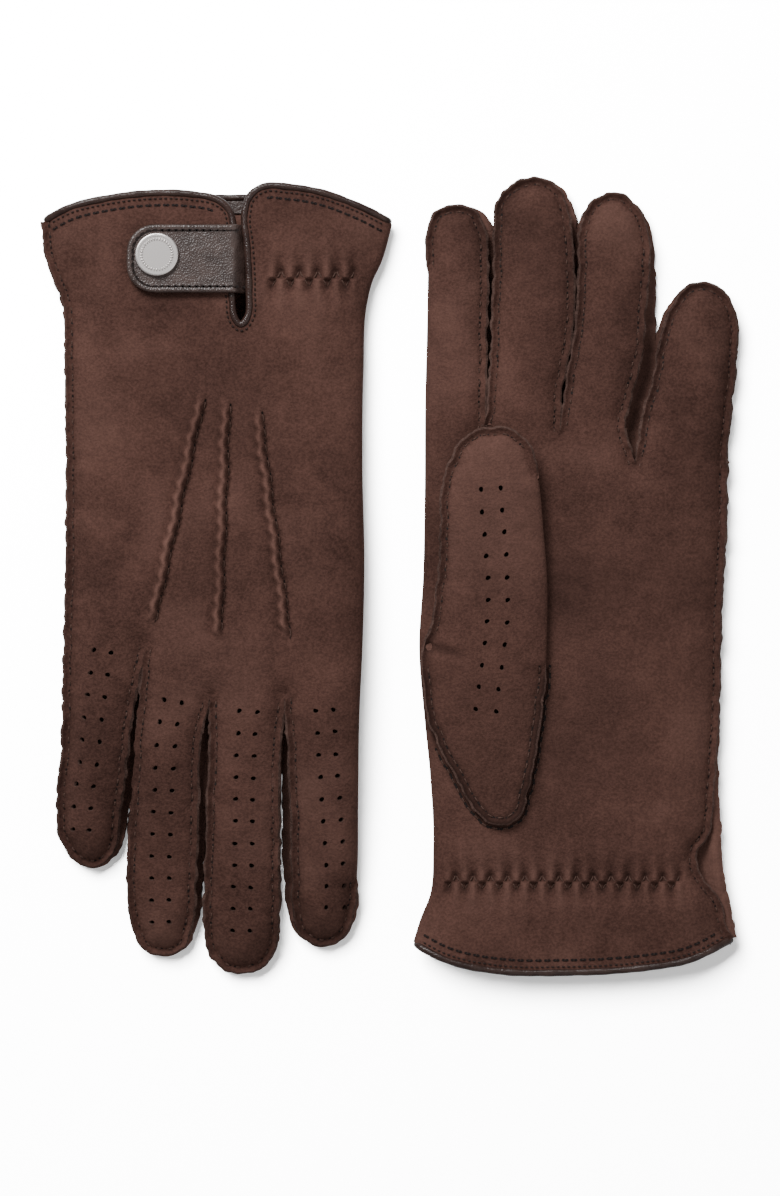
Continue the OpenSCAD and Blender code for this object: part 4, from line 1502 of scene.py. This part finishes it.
def build_linings(glove, sheet):
    """The facing inside the hem and the ribbon that gathers the wrist."""
    hem = sheet.hem[::-1]
    hem = hem[np.abs(hem[:, 0]) < 46]
    facing = inner_band(glove, sheet, hem, *FACING, glove.body(f"facing_{sheet.face}"), SMOOTH)
    rides(facing, glove.body("hand"), "smooth_leather", glove.body("cuff_facing"))
    x1 = -17.0 if sheet.face == "back" else 38.0
    line = np.array([(-41.0, ELASTIC_Y - ELASTIC_W / 2), (x1, ELASTIC_Y - ELASTIC_W / 2)])
    ribbon = inner_band(glove, sheet, line, 0.0, ELASTIC_W, glove.body(f"elastic_{sheet.face}"), ELASTIC)
    rides(ribbon, glove.body("hand"), "elastic", glove.body("wrist_elastic"))


# ---- Strap ----


def strap_outline(inset=0.0, x0=STRAP_ROOT_X):
    """The strap's outline, counter-clockwise, with its rounded free end."""
    x1 = STRAP_X[1] - inset
    y0, y1 = STRAP_Y[0] + inset, STRAP_Y[1] - inset
    r = STRAP_CORNER - inset
    turn = np.linspace(0, math.pi / 2, 12)
    low = [(x1 - r + r * math.sin(a), y0 + r - r * math.cos(a)) for a in turn]
    high = [(x1 - r + r * math.cos(a), y1 - r + r * math.sin(a)) for a in turn]
    return np.array([(x0, y0)] + low + high + [(x0, y1)])


def strap_dip(x):
    """How far the strap goes down to pass under the edge of the vent."""
    return -3.5 * smoothstep((-6.2 - x) / 3.3)


def slab(glove, name, outline, bottom, top, material, roll=0.7, rim=0.0, dip=strap_dip):
    """A flat leather piece on the back with rolled edges; heights are measured out from the back."""
    closed = resample(np.vstack([outline, outline[:1]]), 0.7)[:-1]
    border = Border(np.vstack([closed, closed[:1]]))
    xy, triangles = triangulate(closed, "slab", [], [], True)
    d, _, _ = border.look(xy)
    round_off = crown(d / roll, 0)
    bead = rim * bell(d - 0.9, 0.55)
    uneven = 0.08 * noise(xy[:, 0], xy[:, 1], 8, 3) * smoothstep(d / 2)
    half = (top - bottom) / 2
    shift = dip(xy[:, 0])
    high = bottom + half + half * round_off + bead + uneven + shift
    low = bottom + half - half * round_off + uneven + shift
    n = len(xy)
    edge = d < 1e-4
    lower_number = np.where(edge, np.arange(n), np.arange(n) + n)
    back = glove.back_z(xy[:, 1])
    out = -glove.side
    v = np.concatenate([np.column_stack([xy, back + out * h]) for h in (high, low)])
    faces = np.concatenate([triangles, lower_number[triangles][:, ::-1]])
    if out < 0:
        faces = faces[:, ::-1]
    points = glove.world(v)
    return make_object(name, points, faces, [material], None, vertex_normals(points, faces))


def build_strap(glove):
    """The strap's two layers, its sewn root, its thread and the patch under the stud."""
    hand, strap = glove.body("hand"), glove.body("strap")
    whole, inset = strap_outline(), strap_outline(0.35)
    outer = slab(glove, glove.body("strap_top"), whole, STRAP_JOIN, STRAP_TOP, SMOOTH, 0.6, 0.3)
    lining = slab(glove, glove.body("strap_under"), inset, STRAP_LOW, STRAP_JOIN, LINING, 0.3)
    start, end = glove.world([(STRAP_X[0] - 0.6, 0, 0), (STRAP_X[0] + 8, 0, 0)])
    layers = ((outer, "smooth_leather", "strap_outer"), (lining, "lining_leather", "strap_lining"))
    for obj, slot, node in layers:
        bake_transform(obj)
        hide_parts(glove.body(node))
    x0, x1 = STRAP_ROOT_X - 6.5, STRAP_ROOT_X
    root = np.array([(x0, STRAP_Y[0]), (x1, STRAP_Y[0]), (x1, STRAP_Y[1]), (x0, STRAP_Y[1])])
    anchor = slab(glove, glove.body("strap_root"), root, 0.8, STRAP_TOP, SMOOTH)
    rides(anchor, hand, "smooth_leather", glove.body("strap_anchor"))
    q = resample(strap_outline(1.9, STRAP_X[0] + 0.5), 2.1)
    ways = tangents(q)
    z = glove.back_z(q[:, 1]) - glove.side * (STRAP_THREAD_Z + strap_dip(q[:, 0]))
    places = glove.world(np.column_stack([q, z]))
    ahead = np.column_stack([ways * glove.side, np.zeros(len(q))])
    ups = np.tile([0, 0, -float(glove.side)], (len(q), 1))
    title = glove.body("strap_thread")
    thread = stitches(title, places, ahead, ups, STRAP_THREAD, THREAD_DARK, 0.19)
    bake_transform(thread)
    circle = ring(SNAP_PLACE, PATCH_R, 32)
    patch = slab(glove, glove.body("snap_patch"), circle, -1.9, -1.2, LINING, 0.3, dip=np.zeros_like)
    rides(patch, hand, "lining_leather", glove.body("stud_patch"))


def dress_snap(glove):
    """The snap's metal is the CAD's own; it only gets its finish."""
    for part in ("snap_cap", "snap_socket", "snap_stud", "snap_post"):
        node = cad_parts[glove.body(part)]
        for slot in node.material_slots:
            slot.material = METAL


def build_cap_ring(glove):
    """A ring of plain ticks round the cap's face, in place of the maker's lettering."""
    low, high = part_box(glove.body("snap_cap"))
    middle = (np.array(low[:2]) + high[:2]) / 2
    out = -glove.side
    face = high[2] if out > 0 else low[2]
    slope = glove.palm_slope * glove.side
    a = angles(CAP_TICKS)
    radial = np.column_stack([np.cos(a), np.sin(a)])
    places = middle + radial * CAP_TICK_R * MM
    rise = CAP_R * abs(glove.palm_slope)
    z = face - out * (CAP_DISH + rise) * MM + slope * (places[:, 1] - middle[1])
    ahead = np.column_stack([radial, radial[:, 1] * slope])
    ups = np.tile([0, -slope * out, float(out)], (CAP_TICKS, 1))
    places = np.column_stack([places, z])
    ticks = stitches(glove.body("snap_ticks"), places, ahead, ups, 1.1, METAL, 0.2, holes=False)
    rides(ticks, glove.body("strap"), "snap_metal")


# ---- Build ----


def build_glove(glove):
    """All the pieces of one glove."""
    sheets = (Sheet(glove, True), Sheet(glove, False))
    build_skin(glove, sheets)
    build_fourchettes(glove, sheets)
    build_thumb(glove)
    build_seam_threads(glove, sheets)
    build_binding(glove, sheets)
    for sheet in sheets:
        build_gather_thread(glove, sheet)
        build_hem_threads(glove, sheet)
        build_linings(glove, sheet)
        if sheet.face == "back":
            build_point_threads(glove, sheet)
        else:
            build_thumb_threads(glove, sheet)
    build_strap(glove)
    dress_snap(glove)
    build_cap_ring(glove)


def area_light(name, place, target, size, power):
    data = bpy.data.lights.new(name, "AREA")
    data.shape = "RECTANGLE"
    data.size, data.size_y = size
    data.energy = power
    lamp = bpy.data.objects.new(name, data)
    lamp.location = place
    way = np.array(target) - np.array(place)
    lamp.rotation_euler = Vector(way).to_track_quat("-Z", "Y").to_euler()
    bpy.context.scene.collection.objects.link(lamp)
    return lamp


def table_top(name, color, glow, height):
    """A large flat table top; glow is light of its own, as a light table has."""
    mesh = bpy.data.meshes.new(name)
    r = 3.0
    mesh.from_pydata([(-r, -r, height), (r, -r, height), (r, r, height), (-r, r, height)], [], [(0, 1, 2, 3)])
    table = bpy.data.objects.new(name, mesh)
    material = bpy.data.materials.new(name)
    material.use_nodes = True
    shader = material.node_tree.nodes["Principled BSDF"]
    shader.inputs["Base Color"].default_value = (color, color, color, 1)
    shader.inputs["Roughness"].default_value = 0.9
    shader.inputs["Specular IOR Level"].default_value = 0.0
    shader.inputs["Emission Color"].default_value = (1, 1, 1, 1)
    shader.inputs["Emission Strength"].default_value = glow
    mesh.materials.append(material)
    return table


def build_studio():
    """A white table, a bright surround and soft lights; the camera looks straight down.

    The white that is seen and the surface that lights the gloves from below are two table tops, so that
    the background can be as bright as a light table without washing out the leather.
    """
    seen = table_top("table_seen", 0.95, 0.3, 0.0)
    seen.visible_diffuse = False
    seen.visible_glossy = False
    seen.visible_shadow = False
    lit = table_top("table_lit", 0.8, 0.0, -0.0004)
    lit.visible_camera = False
    only_table = bpy.data.collections.new("table_only")
    only_table.objects.link(seen)
    bpy.context.scene.collection.children.link(only_table)
    bpy.context.scene.collection.objects.link(lit)
    world = bpy.data.worlds.new("studio")
    world.use_nodes = True
    world.node_tree.nodes["Background"].inputs[0].default_value = (1, 1, 1, 1)
    world.node_tree.nodes["Background"].inputs[1].default_value = 0.42
    bpy.context.scene.world = world
    area_light("key", (-0.45, 0.85, 0.85), (0, 0, 0), (0.6, 0.5), 22)
    area_light("fill", (0.7, -0.3, 1.2), (0, 0, 0), (1.2, 1.2), 5)
    over = area_light("table_light", (-0.45, 0.6, 1.35), (0, 0, 0), (0.7, 0.7), 400)
    over.light_linking.receiver_collection = only_table
    data = bpy.data.cameras.new("camera")
    data.lens = 120
    data.sensor_width = 36
    camera = bpy.data.objects.new("camera", data)
    camera.location = (-0.0011, -0.0052, 0.012 + 0.3648 * 120 / 36)
    bpy.context.scene.collection.objects.link(camera)
    bpy.context.scene.camera = camera


right = Glove("right", -1, RIGHT_EDGES, RIGHT_PALM)
left = Glove("left", 1, LEFT_EDGES, LEFT_PALM)
build_glove(right)
build_glove(left)
build_studio()
